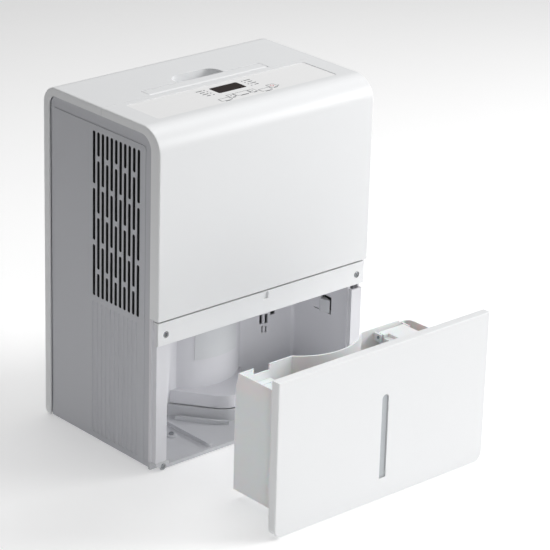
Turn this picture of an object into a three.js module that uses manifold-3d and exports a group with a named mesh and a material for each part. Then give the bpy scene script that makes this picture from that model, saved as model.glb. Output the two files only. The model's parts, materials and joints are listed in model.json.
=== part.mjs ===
// A household dehumidifier that stands on the floor: a two-shell casing with a fan grille in its left side,
// a refrigeration unit, a radial fan, and a water bucket that draws out of the front.
// Millimetres, +Z up, front towards -Y. Sizes inside the casing are measured from the middle of its
// footprint; the whole group is then moved back, so that the origin is under the middle of the part with
// its bucket out.
import * as THREE from "three";
import { mergeVertices } from "three/addons/utils/BufferGeometryUtils.js";
import Module from "manifold-3d";

const wasm = await Module();
wasm.setup();

// ---------- driving dimensions ----------
const WIDTH = 386; // casing, side to side
const DEPTH = 255; // casing, front to back
const HEIGHT = 500; // floor to top
const BUCKET_OUT = 247; // how far the bucket is drawn out at rest
const FOOT_HEIGHT = 2.5;
const WALL = 2.5; // moulded walls
const FIT = 0.4; // between fixed pieces that meet
const RUNNING = 0.8; // round pieces that move

const TOP_FRONT_RADIUS = 36;
const TOP_BACK_RADIUS = 26;
const BASE_RADIUS = 8;
const FRONT_BAND = 18; // the casing's returns round each side panel
const TOP_BAND = 12;
const BACK_BAND = 13;
const SEAM_FROM_FRONT = 124.5; // the joint between the two shells, across the top
const GROOVE = 1.6; // shadow gap round a side panel

const COVER_BOTTOM = 228.4; // lower edge of the front shell
const BAY_TOP = 191; // underside of the strip above the bucket bay
const BAY_FLOOR = 8;
const BAY_DEPTH = 128.5; // from the front face to the bay's back wall
const BAY_SIDE_MARGIN = 25; // casing side to bay wall
const BAY_CORNER_RADIUS = 6;
const STRIP_RECESS = 3; // strip behind the front face
const POST_RECESS = 6;
const LIP_GROOVE = 3.8; // height of the slot that takes the bucket panel's top lip

const COMPRESSOR_X = 6;
const BULGE_RADIUS = 86; // housing of the compressor, standing into the bay
const BULGE_DEPTH = 24;
const PLINTH_NOSE_RADIUS = 32; // two-tier plinth below that housing: a round nose with splayed sides
const PLINTH_REACH = 69; // bay's back wall to the tip of the nose
const PLINTH_SPLAY = 36; // degrees, each side
const PLINTH_STEP = 4; // lower tier beyond the upper one
const PLINTH_TOP = 46;
const PLINTH_SEAM = 26;

const PANEL_LIP = 13; // depth of the bucket panel's edges
const PANEL_BOTTOM = 2;
const PANEL_CORNER_RADIUS = 14;
const TANK_LEFT_GAP = 11.6;
const TANK_RIGHT_GAP = 5;
const TANK_BACK_GAP = 1.6;
const TANK_RIM_SLOPE = 4.5; // how far the left wall leans in at its rim
const TANK_RIM_HEIGHT = 24;
const TANK_BOTTOM = 15.5;
const TANK_TOP = 186;
const TANK_WALL = 2.2;
const TANK_CORNER_RADIUS = 12;
const TANK_CLEARANCE = 4; // to the compressor housing and its plinth
const LEVEL_WINDOW_WIDTH = 12;
const LEVEL_WINDOW_FROM = 34;
const LEVEL_WINDOW_TO = 158;

const GRILLE_COLUMNS = 11;
const GRILLE_PITCH = 9.7;
const GRILLE_SLOT = 5.6;
const GRILLE_WEB = 6.9;
const GRILLE_FROM_FRONT = 46.5; // front face to the first column's middle line
const GRILLE_FROM_TOP = 38;
const GRILLE_BELOW_COVER = 7; // how far the slots reach below the front cover's lower edge
const GRILLE_ROWS = 3;

const FASCIA_WIDTH = 320; // control fascia in the top
const FASCIA_DEPTH = 70;
const FASCIA_FROM_FRONT = 43.5;
const FASCIA_SINK = 0.6;
const FASCIA_THICKNESS = 1.8;
const KEY_TRAVEL = 0.6;

const HANDLE_LENGTH = 212;
const HANDLE_REACH = 16; // pivot to the rear edge
const HANDLE_THICKNESS = 9;
const HANDLE_POCKET_DEPTH = 30;
const SCOOP_LENGTH = 82;
const SCOOP_DEPTH = 14;
const SCOOP_REACH = 25; // behind the handle

const FILTER_WIDTH = 256;
const FILTER_BOTTOM = 222;
const FILTER_FROM_TOP = 52;

const FAN_X = 30;
const SCROLL_FROM_TOP = 39;
const SCROLL_ROOM = 36; // scroll wall to fan wheel
const COMPRESSOR_RADIUS = 52;
const COMPRESSOR_TOP = 183;

// ---------- places that follow from them ----------
const LEFT = -WIDTH / 2;
const RIGHT = WIDTH / 2;
const FRONT = -DEPTH / 2;
const BACK = DEPTH / 2;
const SEAM_Y = FRONT + SEAM_FROM_FRONT;
const BAY_LEFT = LEFT + BAY_SIDE_MARGIN;
const BAY_RIGHT = RIGHT - BAY_SIDE_MARGIN;
const BAY_BACK = FRONT + BAY_DEPTH;
const BULGE_Y = BAY_BACK - BULGE_DEPTH + BULGE_RADIUS;
const PLINTH_X = COMPRESSOR_X - 4;
const PLINTH_Y = BAY_BACK - PLINTH_REACH + PLINTH_NOSE_RADIUS; // middle of the nose
const LIP_WALL = 2.6;
const POST_OUTER = RIGHT - LIP_WALL - RUNNING + 0.1;
const SIDE_BACK = RIGHT - 7.2; // inner face of a side panel
const STRIP_TOP = COVER_BOTTOM - LIP_GROOVE;
const POCKET_FRONT = SEAM_Y + 2.3;
const PIVOT_Y = POCKET_FRONT + RUNNING + HANDLE_THICKNESS / 2;
const PIVOT_Z = HEIGHT - HANDLE_THICKNESS / 2;
const POCKET_BACK = PIVOT_Y + HANDLE_REACH + RUNNING;
const SCROLL_BOTTOM = COVER_BOTTOM + 0.6;
const SCROLL_RADIUS = (HEIGHT - SCROLL_FROM_TOP - SCROLL_BOTTOM) / 2;
const FAN_Z = SCROLL_BOTTOM + SCROLL_RADIUS;
const FAN_RADIUS = SCROLL_RADIUS - SCROLL_ROOM;
const GRILLE_TOP = HEIGHT - GRILLE_FROM_TOP;
const GRILLE_BOTTOM = COVER_BOTTOM - GRILLE_BELOW_COVER;
const GRILLE_STRIDE = (GRILLE_TOP - GRILLE_BOTTOM + GRILLE_WEB) / GRILLE_ROWS; // slot and web
const FILTER_TOP = HEIGHT - FILTER_FROM_TOP;

// ---------- looks ----------
const look = (colour, roughness, metalness = 0) =>
  new THREE.MeshStandardMaterial({ color: colour, roughness, metalness });
const whitePlastic = look(0xf3f4f5, 0.35);
const sideGrey = look(0xc9cad0, 0.5);
const tankPlastic = look(0xf0f2f3, 0.4);
const windowGrey = look(0xa9adb2, 0.25);
const blackGloss = look(0x2b2625, 0.12);
const lampGrey = look(0x6c6f73, 0.3);
const darkPlastic = look(0x3a3c3f, 0.6);
const rubber = look(0x202224, 0.85);
const labelSilver = look(0xd5d8dc, 0.4);
const screwSteel = look(0x8f9296, 0.35, 1);
const galvanised = look(0xb4b8bb, 0.45, 1);
const finAluminium = look(0xc8ccd0, 0.4, 1);
const copper = look(0xb87450, 0.3, 1);
const blackPaint = look(0x26282a, 0.4);
const boardGreen = look(0x2f6b45, 0.5);

// ---------- shapes and solids ----------
const toSolid = (geometry) => {
  const bare = geometry.clone();
  bare.deleteAttribute("normal");
  bare.deleteAttribute("uv");
  const merged = mergeVertices(bare, 1e-4);
  return new wasm.Manifold(
    new wasm.Mesh({
      numProp: 3,
      vertProperties: merged.attributes.position.array,
      triVerts: new Uint32Array(merged.index.array),
    }),
  );
};

const toGeometry = (solid) => {
  const made = solid.getMesh();
  const geometry = new THREE.BufferGeometry();
  geometry.setAttribute("position", new THREE.BufferAttribute(made.vertProperties, 3));
  geometry.setIndex(new THREE.BufferAttribute(made.triVerts, 1));
  geometry.computeVertexNormals();
  return geometry;
};

const join = (first, ...others) => others.reduce((sum, next) => sum.add(next), first);
const cut = (first, ...others) => others.reduce((rest, next) => rest.subtract(next), first);
const shared = (first, second) => first.intersect(second);

// A block between two corners.
const block = (x0, x1, y0, y1, z0, z1) => {
  const geometry = new THREE.BoxGeometry(x1 - x0, y1 - y0, z1 - z0);
  geometry.translate((x0 + x1) / 2, (y0 + y1) / 2, (z0 + z1) / 2);
  return toSolid(geometry);
};

// A shape drawn across an axis, carried from one place on it to another.
// Drawn in (y, z) for the x axis, (x, z) for the y axis and (x, y) for the z axis.
const prism = (shape, axis, from, to, curveSegments = 6) => {
  const geometry = new THREE.ExtrudeGeometry(shape, { depth: to - from, bevelEnabled: false, curveSegments });
  const turn = new THREE.Matrix4();
  if (axis === "x") turn.set(0, 0, 1, from, 1, 0, 0, 0, 0, 1, 0, 0, 0, 0, 0, 1);
  if (axis === "y") turn.set(1, 0, 0, 0, 0, 0, -1, to, 0, 1, 0, 0, 0, 0, 0, 1);
  if (axis === "z") turn.makeTranslation(0, 0, from);
  geometry.applyMatrix4(turn);
  return toSolid(geometry);
};

// A rectangle with its own radius at each corner: low-low, high-low, high-high, low-high.
const roundedRectangle = (a0, b0, a1, b1, radii) => {
  const [r1, r2, r3, r4] = Array.isArray(radii) ? radii : [radii, radii, radii, radii];
  const shape = new THREE.Shape();
  shape.moveTo(a0 + r1, b0);
  shape.lineTo(a1 - r2, b0);
  if (r2) shape.absarc(a1 - r2, b0 + r2, r2, -Math.PI / 2, 0);
  shape.lineTo(a1, b1 - r3);
  if (r3) shape.absarc(a1 - r3, b1 - r3, r3, 0, Math.PI / 2);
  shape.lineTo(a0 + r4, b1);
  if (r4) shape.absarc(a0 + r4, b1 - r4, r4, Math.PI / 2, Math.PI);
  shape.lineTo(a0, b0 + r1);
  if (r1) shape.absarc(a0 + r1, b0 + r1, r1, Math.PI, Math.PI * 1.5);
  return shape;
};

const disc = (a, b, radius) => {
  const shape = new THREE.Shape();
  shape.absarc(a, b, radius, 0, Math.PI * 2);
  return shape;
};

// A round bar along an axis; a and b are its place across that axis, in the prism's order.
const bar = (axis, a, b, from, to, radius, sides = 16) =>
  prism(disc(a, b, radius), axis, from, to, sides);

// A turned piece about the z axis, from a list of [radius, height].
const turned = (profile, sides = 24) =>
  toSolid(
    new THREE.LatheGeometry(
      profile.map(([r, z]) => new THREE.Vector2(r, z)),
      sides,
    ).rotateX(Math.PI / 2),
  );

// A pipe of round section along a smooth path.
const pipe = (points, radius, steps, sides = 8) => {
  const path = new THREE.CatmullRomCurve3(points.map((p) => new THREE.Vector3(...p)), false, "centripetal");
  const section = new THREE.Shape();
  for (let i = 0; i < sides; i += 1) {
    const angle = (i / sides) * Math.PI * 2;
    section[i ? "lineTo" : "moveTo"](Math.cos(angle) * radius, Math.sin(angle) * radius);
  }
  return toSolid(new THREE.ExtrudeGeometry(section, { steps, extrudePath: path, bevelEnabled: false }));
};

const node = (name, solid, material) => {
  const mesh = new THREE.Mesh(toGeometry(solid), material);
  mesh.name = name;
  return mesh;
};

const placed = (mesh, x, y, z) => {
  mesh.position.set(x, y, z);
  return mesh;
};

const casing = new THREE.Group(); // everything that stands still
const bucket = new THREE.Group(); // drawn as if closed, then moved out
bucket.position.y = -BUCKET_OUT;

// ---------- casing shells ----------
const sideOutline = (inFront, inTop, inBack, bottom) => {
  const frontRadius = Math.max(TOP_FRONT_RADIUS - (inFront + inTop) / 2, 3);
  const backRadius = Math.max(TOP_BACK_RADIUS - (inBack + inTop) / 2, 3);
  const base = bottom > FOOT_HEIGHT - 1 ? Math.max(BASE_RADIUS - inBack / 2, 1) : 0;
  const radii = [0, base, backRadius, frontRadius];
  return roundedRectangle(FRONT + inFront, bottom, BACK - inBack, HEIGHT - inTop, radii);
};

const BELOW = -20; // well under the floor, for cuts that leave the bottom open
const casingShell = cut(
  prism(sideOutline(0, 0, 0, FOOT_HEIGHT), "x", LEFT, RIGHT, 14),
  prism(sideOutline(WALL, WALL, WALL, BELOW), "x", LEFT + WALL, RIGHT - WALL, 8),
  prism(sideOutline(FRONT_BAND, TOP_BAND, BACK_BAND, BELOW), "x", LEFT - 1, RIGHT + 1, 10),
);

const fasciaFront = FRONT + FASCIA_FROM_FRONT;
const fasciaBack = fasciaFront + FASCIA_DEPTH;
const fasciaTop = HEIGHT - FASCIA_SINK;
const fasciaShape = (grow) =>
  roundedRectangle(
    -FASCIA_WIDTH / 2 - grow,
    fasciaFront - grow,
    FASCIA_WIDTH / 2 + grow,
    fasciaBack + grow,
    4 + grow,
  );
const CONTROL_HALF = 68; // the part of the fascia with keys and lamps

function frontCover() {
  const front = shared(casingShell, block(LEFT, RIGHT, FRONT, SEAM_Y - FIT / 2, COVER_BOTTOM, HEIGHT));
  const pocketFloor = fasciaTop - FASCIA_THICKNESS - FIT;
  const pad = prism(fasciaShape(4), "z", pocketFloor - WALL, HEIGHT - 1);
  const pocket = prism(fasciaShape(FIT), "z", pocketFloor, HEIGHT + 1);
  const opening = block(-CONTROL_HALF, CONTROL_HALF, fasciaFront + 3, fasciaBack - 6, HEIGHT - 20, HEIGHT);
  return cut(join(front, pad), pocket, opening);
}

const scoopShape = (grow) =>
  roundedRectangle(
    -SCOOP_LENGTH / 2 - grow,
    POCKET_BACK - 4,
    SCOOP_LENGTH / 2 + grow,
    POCKET_BACK + SCOOP_REACH + grow,
    [0, 0, 18 + grow, 18 + grow],
  );
const pocketHalf = HANDLE_LENGTH / 2 + RUNNING;
const drain = { x: 120, z: 120, radius: 9 };
const gland = { x: -140, z: 44, radius: 12 };

function rearCover() {
  const rear = shared(casingShell, block(LEFT, RIGHT, SEAM_Y + FIT / 2, BACK, FOOT_HEIGHT, HEIGHT));
  const floor = HEIGHT - HANDLE_POCKET_DEPTH;
  const trayOuter = block(
    -pocketHalf - WALL, pocketHalf + WALL,
    POCKET_FRONT - 2, POCKET_BACK + WALL,
    floor - WALL, HEIGHT - 1,
  );
  const trayInner = block(-pocketHalf, pocketHalf, POCKET_FRONT, POCKET_BACK, floor, HEIGHT + 1);
  const scoopOuter = prism(scoopShape(WALL), "z", HEIGHT - SCOOP_DEPTH - WALL, HEIGHT - 1);
  const scoopInner = prism(scoopShape(0), "z", HEIGHT - SCOOP_DEPTH, HEIGHT + 1);
  const pinHoles = bar("x", PIVOT_Y, PIVOT_Z, -pocketHalf - 20, pocketHalf + 20, 2.6, 6);
  const half = FILTER_WIDTH / 2;
  return cut(
    join(rear, trayOuter, scoopOuter),
    trayInner,
    scoopInner,
    pinHoles,
    block(-half, half, BACK - 20, BACK + 1, FILTER_BOTTOM, FILTER_TOP),
    bar("y", drain.x, drain.z, BACK - 10, BACK + 1, drain.radius + 4, 8),
    bar("y", gland.x, gland.z, BACK - 10, BACK + 1, gland.radius + FIT, 8),
  );
}

// ---------- side panels ----------
const FIELD_RAISE = 0.8;
const FIELD_FROM_FRONT = 31.5;
const FIELD_FROM_TOP = 29;
const FIELD_FROM_BACK = 19;
const PANEL_FOOT = FOOT_HEIGHT + 1;

function sidePanel() {
  const skin = SIDE_BACK + 3;
  const edge = sideOutline(FRONT_BAND + GROOVE, TOP_BAND + GROOVE, BACK_BAND + GROOVE, PANEL_FOOT);
  const field = sideOutline(FIELD_FROM_FRONT, FIELD_FROM_TOP, FIELD_FROM_BACK, PANEL_FOOT + 6);
  const tongue = sideOutline(FRONT_BAND + GROOVE, TOP_BAND - 5, BACK_BAND - 5, PANEL_FOOT);
  return join(
    prism(edge, "x", SIDE_BACK + 1, skin + 2.2 - FIELD_RAISE, 5),
    prism(field, "x", SIDE_BACK + 1, skin + 2.2, 5),
    prism(tongue, "x", SIDE_BACK, SIDE_BACK + 1.8, 5),
  );
}

function grilleSlots() {
  const slots = [];
  for (let column = 0; column < GRILLE_COLUMNS; column += 1) {
    const y = FRONT + GRILLE_FROM_FRONT + column * GRILLE_PITCH;
    const start = GRILLE_TOP + (column % 2 ? GRILLE_STRIDE / 2 : 0);
    for (let row = 0; row <= GRILLE_ROWS; row += 1) {
      const high = Math.min(GRILLE_TOP, start - row * GRILLE_STRIDE);
      const low = Math.max(GRILLE_BOTTOM, start - (row + 1) * GRILLE_STRIDE + GRILLE_WEB);
      if (high - low > GRILLE_SLOT)
        slots.push(block(LEFT - 5, LEFT + 20, y - GRILLE_SLOT / 2, y + GRILLE_SLOT / 2, low, high));
    }
    slots.push(
      block(
        LEFT - 5, LEFT + 1.9,
        y - GRILLE_SLOT / 2, y + GRILLE_SLOT / 2,
        PANEL_FOOT + 9, GRILLE_BOTTOM - 8,
      ),
    );
  }
  return join(...slots);
}

// ---------- bucket bay ----------
// The bay seen from above, its walls moved outwards by grow. The compressor's housing bulges into its back.
function bayPlan(grow, front) {
  const back = BAY_BACK + grow;
  const radius = BULGE_RADIUS - grow;
  const reach = Math.sqrt(radius ** 2 - (BULGE_Y - back) ** 2);
  const corner = BAY_CORNER_RADIUS + grow;
  const start = Math.atan2(back - BULGE_Y, reach);
  const end = Math.atan2(back - BULGE_Y, -reach);
  const shape = new THREE.Shape();
  shape.moveTo(BAY_LEFT - grow, front);
  shape.lineTo(BAY_RIGHT + grow, front);
  shape.lineTo(BAY_RIGHT + grow, back - corner);
  shape.absarc(BAY_RIGHT + grow - corner, back - corner, corner, 0, Math.PI / 2);
  shape.lineTo(COMPRESSOR_X + reach, back);
  shape.absarc(COMPRESSOR_X, BULGE_Y, radius, start, end, true);
  shape.lineTo(BAY_LEFT - grow, back);
  shape.lineTo(BAY_LEFT - grow, front);
  return shape;
}

// The rounded lower corners of the bucket panel's lips, kept clear of the posts and the base.
function cornerRelief() {
  const reliefs = [-1, 1].map((side) => {
    const x = side * (RIGHT - PANEL_CORNER_RADIUS);
    const z = PANEL_BOTTOM + PANEL_CORNER_RADIUS;
    const outer = side * (RIGHT + 5);
    const y = FRONT + PANEL_LIP + RUNNING;
    return cut(
      block(Math.min(x, outer), Math.max(x, outer), FRONT - 1, y, -5, z),
      bar("y", x, z, FRONT - 2, y + 1, PANEL_CORNER_RADIUS - LIP_WALL - RUNNING, 12),
    );
  });
  return join(...reliefs);
}

// The plinth from above, grown outwards all round: a round nose whose sides splay back to the line y = back.
function plinthPlan(grow, back) {
  const splay = (PLINTH_SPLAY * Math.PI) / 180;
  const radius = PLINTH_NOSE_RADIUS + grow;
  const touchX = radius * Math.cos(splay);
  const touchY = PLINTH_Y - radius * Math.sin(splay);
  const half = touchX + (back - touchY) * Math.tan(splay);
  const shape = new THREE.Shape();
  shape.moveTo(PLINTH_X - half, back);
  shape.lineTo(PLINTH_X - touchX, touchY);
  shape.absarc(PLINTH_X, PLINTH_Y, radius, Math.PI + splay, Math.PI * 2 - splay);
  shape.lineTo(PLINTH_X + half, back);
  return shape;
}

const screwX = RIGHT - 17; // screws near the casing's sides
const stripScrewZ = 206;
const baseScrewZ = 6.3;
const BASE_BOSS_RADIUS = 6;
const POST_BOTTOM = 14; // the posts stand on bosses of the base
const RIGHT_POST_DROP = 8.6; // the right post stops this far below the strip
const lever = { front: FRONT + 49.5, length: 16, bottom: 132, height: 20, proud: 5 };
const taperedRib = { width: 8, foot: 36, behind: 4 }; // stiffens the left post, widest at its top
const markRecess = { left: -1.6, right: 7.6, bottom: 213, depth: 2.4 }; // in the middle of the strip

const stripY = FRONT + STRIP_RECESS;
const postY = FRONT + POST_RECESS;
const wallFront = FRONT + 12; // front edge of the bay's walls
const grooveBack = FRONT + PANEL_LIP + RUNNING;

function frontFrame() {
  const liner = cut(
    prism(bayPlan(WALL, wallFront), "z", BAY_FLOOR + FIT, BAY_TOP + WALL, 10),
    prism(bayPlan(0, wallFront - 1), "z", BAY_FLOOR - 1, BAY_TOP, 10),
  );
  const plinth = shared(
    cut(
      prism(plinthPlan(0, BAY_BACK + 20), "z", PLINTH_SEAM + 0.6, PLINTH_TOP, 16),
      prism(plinthPlan(-WALL, BAY_BACK + 21), "z", PLINTH_SEAM, PLINTH_TOP - WALL, 16),
    ),
    prism(bayPlan(1, wallFront), "z", 0, BAY_TOP, 10),
  );
  const posts = [-1, 1].map((side) => {
    const shoulder = BAY_RIGHT + WALL;
    const top = BAY_TOP - FIT;
    const span = (a, b) => [Math.min(side * a, side * b), Math.max(side * a, side * b)];
    return join(
      block(...span(shoulder, POST_OUTER), postY, postY + WALL, POST_BOTTOM, top),
      block(
        ...span(POST_OUTER - WALL, POST_OUTER),
        postY, FRONT + FRONT_BAND,
        POST_BOTTOM, STRIP_TOP - WALL - FIT,
      ),
      block(...span(POST_OUTER - 1, RIGHT), grooveBack, FRONT + FRONT_BAND, POST_BOTTOM, COVER_BOTTOM - FIT),
      block(...span(shoulder, shoulder + WALL), postY, wallFront + WALL, POST_BOTTOM, top),
      block(...span(BAY_RIGHT, shoulder + 1), wallFront, wallFront + WALL, BAY_FLOOR + FIT, top),
    );
  });
  const ribOutline = new THREE.Shape();
  ribOutline.moveTo(BAY_LEFT - WALL - 1, taperedRib.foot);
  ribOutline.lineTo(BAY_LEFT + taperedRib.width, BAY_TOP - FIT);
  ribOutline.lineTo(BAY_LEFT - WALL - 1, BAY_TOP - FIT);
  const rib = prism(ribOutline, "y", postY + taperedRib.behind, wallFront);
  const leverWindow = block(
    BAY_RIGHT - 1, BAY_RIGHT + WALL + 1,
    lever.front - 4, lever.front + lever.length + 1,
    lever.bottom - 1, lever.bottom + lever.height + 6,
  );
  const leverSlit = block(
    BAY_RIGHT - 1, BAY_RIGHT + WALL + 1,
    lever.front + lever.length + 4, lever.front + lever.length + 17,
    lever.bottom - 1, lever.bottom + 0.6,
  );
  const sensorSlots = [
    [103, 109, 104.5, 119],
    [113.5, 119.5, 103, 118],
    [107.5, 110.5, 90, 100.5],
    [114.5, 118, 89, 98.5],
    [124, 133, 114, 121],
  ].map(([x0, x1, z0, z1]) => block(x0, x1, BAY_BACK - 1, BAY_BACK + WALL + 1, z0, z1));
  const dripHole = block(96, 112, BAY_BACK - 18, BAY_BACK - 6, BAY_TOP - 1, BAY_TOP + WALL + 1);
  const postEnd = block(
    BAY_RIGHT + WALL, RIGHT + 1,
    FRONT, wallFront,
    BAY_TOP - RIGHT_POST_DROP, STRIP_TOP + 1,
  );
  const frame = join(liner, plinth, rib, ...posts);
  return cut(frame, leverWindow, leverSlit, ...sensorSlots, dripHole, postEnd, cornerRelief());
}

// The white strip between the front cover and the bay, with the groove that takes the bucket panel's top lip.
function frontStrip() {
  const half = POST_OUTER - WALL - FIT;
  const face = block(-POST_OUTER, POST_OUTER, stripY, postY - FIT, BAY_TOP, STRIP_TOP);
  const body = block(-half, half, stripY + 1, postY + 1, BAY_TOP + FIT, STRIP_TOP);
  const ledge = block(-half, half, stripY, grooveBack + WALL, STRIP_TOP - WALL, STRIP_TOP);
  const ledgeEnds = block(-POST_OUTER, POST_OUTER, stripY, grooveBack - FIT, STRIP_TOP - WALL, STRIP_TOP);
  const upright = block(
    -SIDE_BACK + 1, SIDE_BACK - 1,
    grooveBack, grooveBack + WALL,
    STRIP_TOP - WALL, COVER_BOTTOM + 18,
  );
  const bosses = [-1, 1].map((side) =>
    cut(
      bar("y", side * screwX, stripScrewZ, stripY + 1, stripY + 12, 7, 6),
      bar("y", side * screwX, stripScrewZ, stripY + 4, stripY + 13, 5.5, 6),
    ),
  );
  const screwHoles = [-1, 1].flatMap((side) => [
    bar("y", side * screwX, stripScrewZ, stripY - 1, stripY + 2.6, 5, 6),
    bar("y", side * screwX, stripScrewZ, stripY, stripY + 20, 2.4, 4),
  ]);
  const mark = block(
    markRecess.left, markRecess.right,
    stripY - 1, stripY + markRecess.depth,
    markRecess.bottom, STRIP_TOP - 1.2,
  );
  return cut(join(face, body, ledge, ledgeEnds, upright, ...bosses), ...screwHoles, mark, cornerRelief());
}

// ---------- base ----------
const RIB_TOP = BAY_FLOOR + 5.5;
const curvedRibPlace = { distance: 10, width: 5.5 }; // from the plinth's upper tier
const STRAIGHT_RIB_X = BAY_LEFT + 81;
const STRAIGHT_RIB_WIDTH = 6;
const floorScrew = { x: BAY_LEFT + 60, y: FRONT + 71.5 };

// A straight rib on the floor that ends in a round stud near the front.
function straightRib(x) {
  const front = FRONT + POST_RECESS + 8;
  const half = STRAIGHT_RIB_WIDTH / 2;
  return join(
    block(x - half, x + half, front, BAY_BACK - 20, BAY_FLOOR - 1, RIB_TOP),
    bar("z", x, front, BAY_FLOOR - 1, RIB_TOP, half + 1.2, 8),
  );
}

// A curved rib that keeps its distance from the plinth, on its left side only.
function curvedRib() {
  const { distance, width } = curvedRibPlace;
  const back = BAY_BACK - 18;
  return shared(
    cut(
      prism(plinthPlan(distance + width, back), "z", BAY_FLOOR - 1, RIB_TOP, 14),
      prism(plinthPlan(distance, back + 1), "z", BAY_FLOOR - 2, RIB_TOP + 1, 14),
    ),
    block(BAY_LEFT, PLINTH_X - 22, FRONT, back, 0, HEIGHT),
  );
}

function basePan() {
  const back = BACK - WALL - FIT;
  const side = SIDE_BACK - FIT;
  const floor = join(
    block(-side, side, FRONT + POST_RECESS, back, FOOT_HEIGHT, BAY_FLOOR),
    block(-POST_OUTER, POST_OUTER, FRONT + POST_RECESS, FRONT + FRONT_BAND, FOOT_HEIGHT, BAY_FLOOR),
  );
  const rimFront = BAY_BACK + WALL + 2;
  const rim = cut(
    block(-side, side, rimFront, back, BAY_FLOOR - 1, BAY_FLOOR + 16),
    block(-side + WALL, side - WALL, rimFront + WALL, back - WALL, BAY_FLOOR - 2, BAY_FLOOR + 20),
  );
  // the tub round the compressor is open towards the bay, where the plinth's lower tier closes it
  const rimDoor = bar("z", COMPRESSOR_X, BULGE_Y, BAY_FLOOR, BAY_FLOOR + 20, BULGE_RADIUS - WALL - FIT, 12);
  const tier = shared(
    cut(
      prism(plinthPlan(PLINTH_STEP, BAY_BACK + 20), "z", BAY_FLOOR - 1, PLINTH_SEAM, 16),
      prism(plinthPlan(PLINTH_STEP - WALL, BAY_BACK + 21), "z", BAY_FLOOR - 2, PLINTH_SEAM + 1, 16),
    ),
    prism(bayPlan(-FIT, FRONT + 12), "z", 0, BAY_TOP, 10),
  );
  const ribs = join(curvedRib(), straightRib(STRAIGHT_RIB_X), straightRib(-STRAIGHT_RIB_X));
  const corners = [-1, 1].map((side) => {
    const ends = [side * (BAY_RIGHT - 2), side * POST_OUTER].sort((a, b) => a - b);
    const outerEnds = [side * (BAY_RIGHT + WALL + 1 + FIT), side * RIGHT].sort((a, b) => a - b);
    const y = FRONT + POST_RECESS;
    return join(
      block(...ends, y, wallFront - FIT, FOOT_HEIGHT, POST_BOTTOM - FIT),
      block(...outerEnds, wallFront - FIT - 1, FRONT + FRONT_BAND, FOOT_HEIGHT, POST_BOTTOM - FIT),
      bar("y", side * screwX, baseScrewZ, y, y + 4, BASE_BOSS_RADIUS, 8),
    );
  });
  const cornerHoles = [-1, 1].flatMap((side) => [
    bar("y", side * screwX, baseScrewZ, FRONT, FRONT + POST_RECESS + 1.6, BASE_BOSS_RADIUS - 1.4, 6),
    bar("y", side * screwX, baseScrewZ, FRONT, FRONT + POST_RECESS + 14, 2.4, 4),
  ]);
  const screwBoss = bar("z", floorScrew.x, floorScrew.y, BAY_FLOOR - 1, BAY_FLOOR + 3, 8, 8);
  const screwHole = bar("z", floorScrew.x, floorScrew.y, FOOT_HEIGHT - 1, BAY_FLOOR + 4, 2.4, 4);
  return cut(
    join(floor, cut(rim, rimDoor), tier, ribs, screwBoss, ...corners),
    screwHole,
    ...cornerHoles,
    cornerRelief(),
  );
}

// ---------- control fascia ----------
const display = { width: 49, depth: 24, y: FRONT + 90.5 };
const LAMP_X = 34;
const LAMP_PITCH = 7;
const lampRows = [0, 1, 2, 3].map((row) => display.y + 10.2 - row * LAMP_PITCH);
const POWER_LAMP = { x: 64, y: FRONT + 58 };
const keys = [
  { name: "fan_speed_key", x: -35, y: FRONT + 54, width: 17, depth: 8 },
  { name: "down_key", x: -19, y: FRONT + 61, width: 9, depth: 9 },
  { name: "mode_key", x: 0, y: FRONT + 61, width: 23, depth: 9 },
  { name: "up_key", x: 19, y: FRONT + 61, width: 9, depth: 9 },
  { name: "timer_key", x: 37, y: FRONT + 54, width: 17, depth: 8 },
  { name: "power_key", x: 55, y: FRONT + 61, width: 11, depth: 11 },
];
const keyShape = (key, grow) =>
  roundedRectangle(
    key.x - key.width / 2 - grow,
    key.y - key.depth / 2 - grow,
    key.x + key.width / 2 + grow,
    key.y + key.depth / 2 + grow,
    2 + grow,
  );
const displayShape = (grow) =>
  roundedRectangle(
    -display.width / 2 - grow,
    display.y - display.depth / 2 - grow,
    display.width / 2 + grow,
    display.y + display.depth / 2 + grow,
    2.5 + grow,
  );

function controlFascia() {
  const plate = prism(fasciaShape(0), "z", fasciaTop - FASCIA_THICKNESS, fasciaTop, 4);
  const high = fasciaTop + 1;
  const low = fasciaTop - FASCIA_THICKNESS - 1;
  const lampHoles = [-LAMP_X, LAMP_X].flatMap((x) => lampRows.map((y) => bar("z", x, y, low, high, 1.6, 3)));
  return cut(
    plate,
    prism(displayShape(0.3), "z", low, high, 3),
    ...keys.map((key) => prism(keyShape(key, 0.35), "z", low, high, 3)),
    ...lampHoles,
    bar("z", POWER_LAMP.x, POWER_LAMP.y, low, high, 1.6, 3),
  );
}

// Four small lamps on one light guide under the fascia.
function lampGuide(x, extra = []) {
  const guideTop = fasciaTop - FASCIA_THICKNESS - 0.5;
  const carrier = block(x - 3, x + 3, lampRows[3] - 4, lampRows[0] + 4, guideTop - 3, guideTop);
  const studs = lampRows.map((y) => bar("z", x, y, guideTop - 1, fasciaTop - 0.2, 1.3, 3));
  return join(carrier, ...studs, ...extra);
}

function powerLampArm() {
  const guideTop = fasciaTop - FASCIA_THICKNESS - 0.5;
  const armY = display.y + 2;
  return [
    block(LAMP_X, POWER_LAMP.x + 2.5, armY - 2, armY + 2, guideTop - 3, guideTop),
    block(POWER_LAMP.x - 2, POWER_LAMP.x + 2.5, POWER_LAMP.y - 2.5, armY, guideTop - 3, guideTop),
    bar("z", POWER_LAMP.x, POWER_LAMP.y, guideTop - 1, fasciaTop - 0.2, 1.3, 3),
  ];
}

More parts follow.
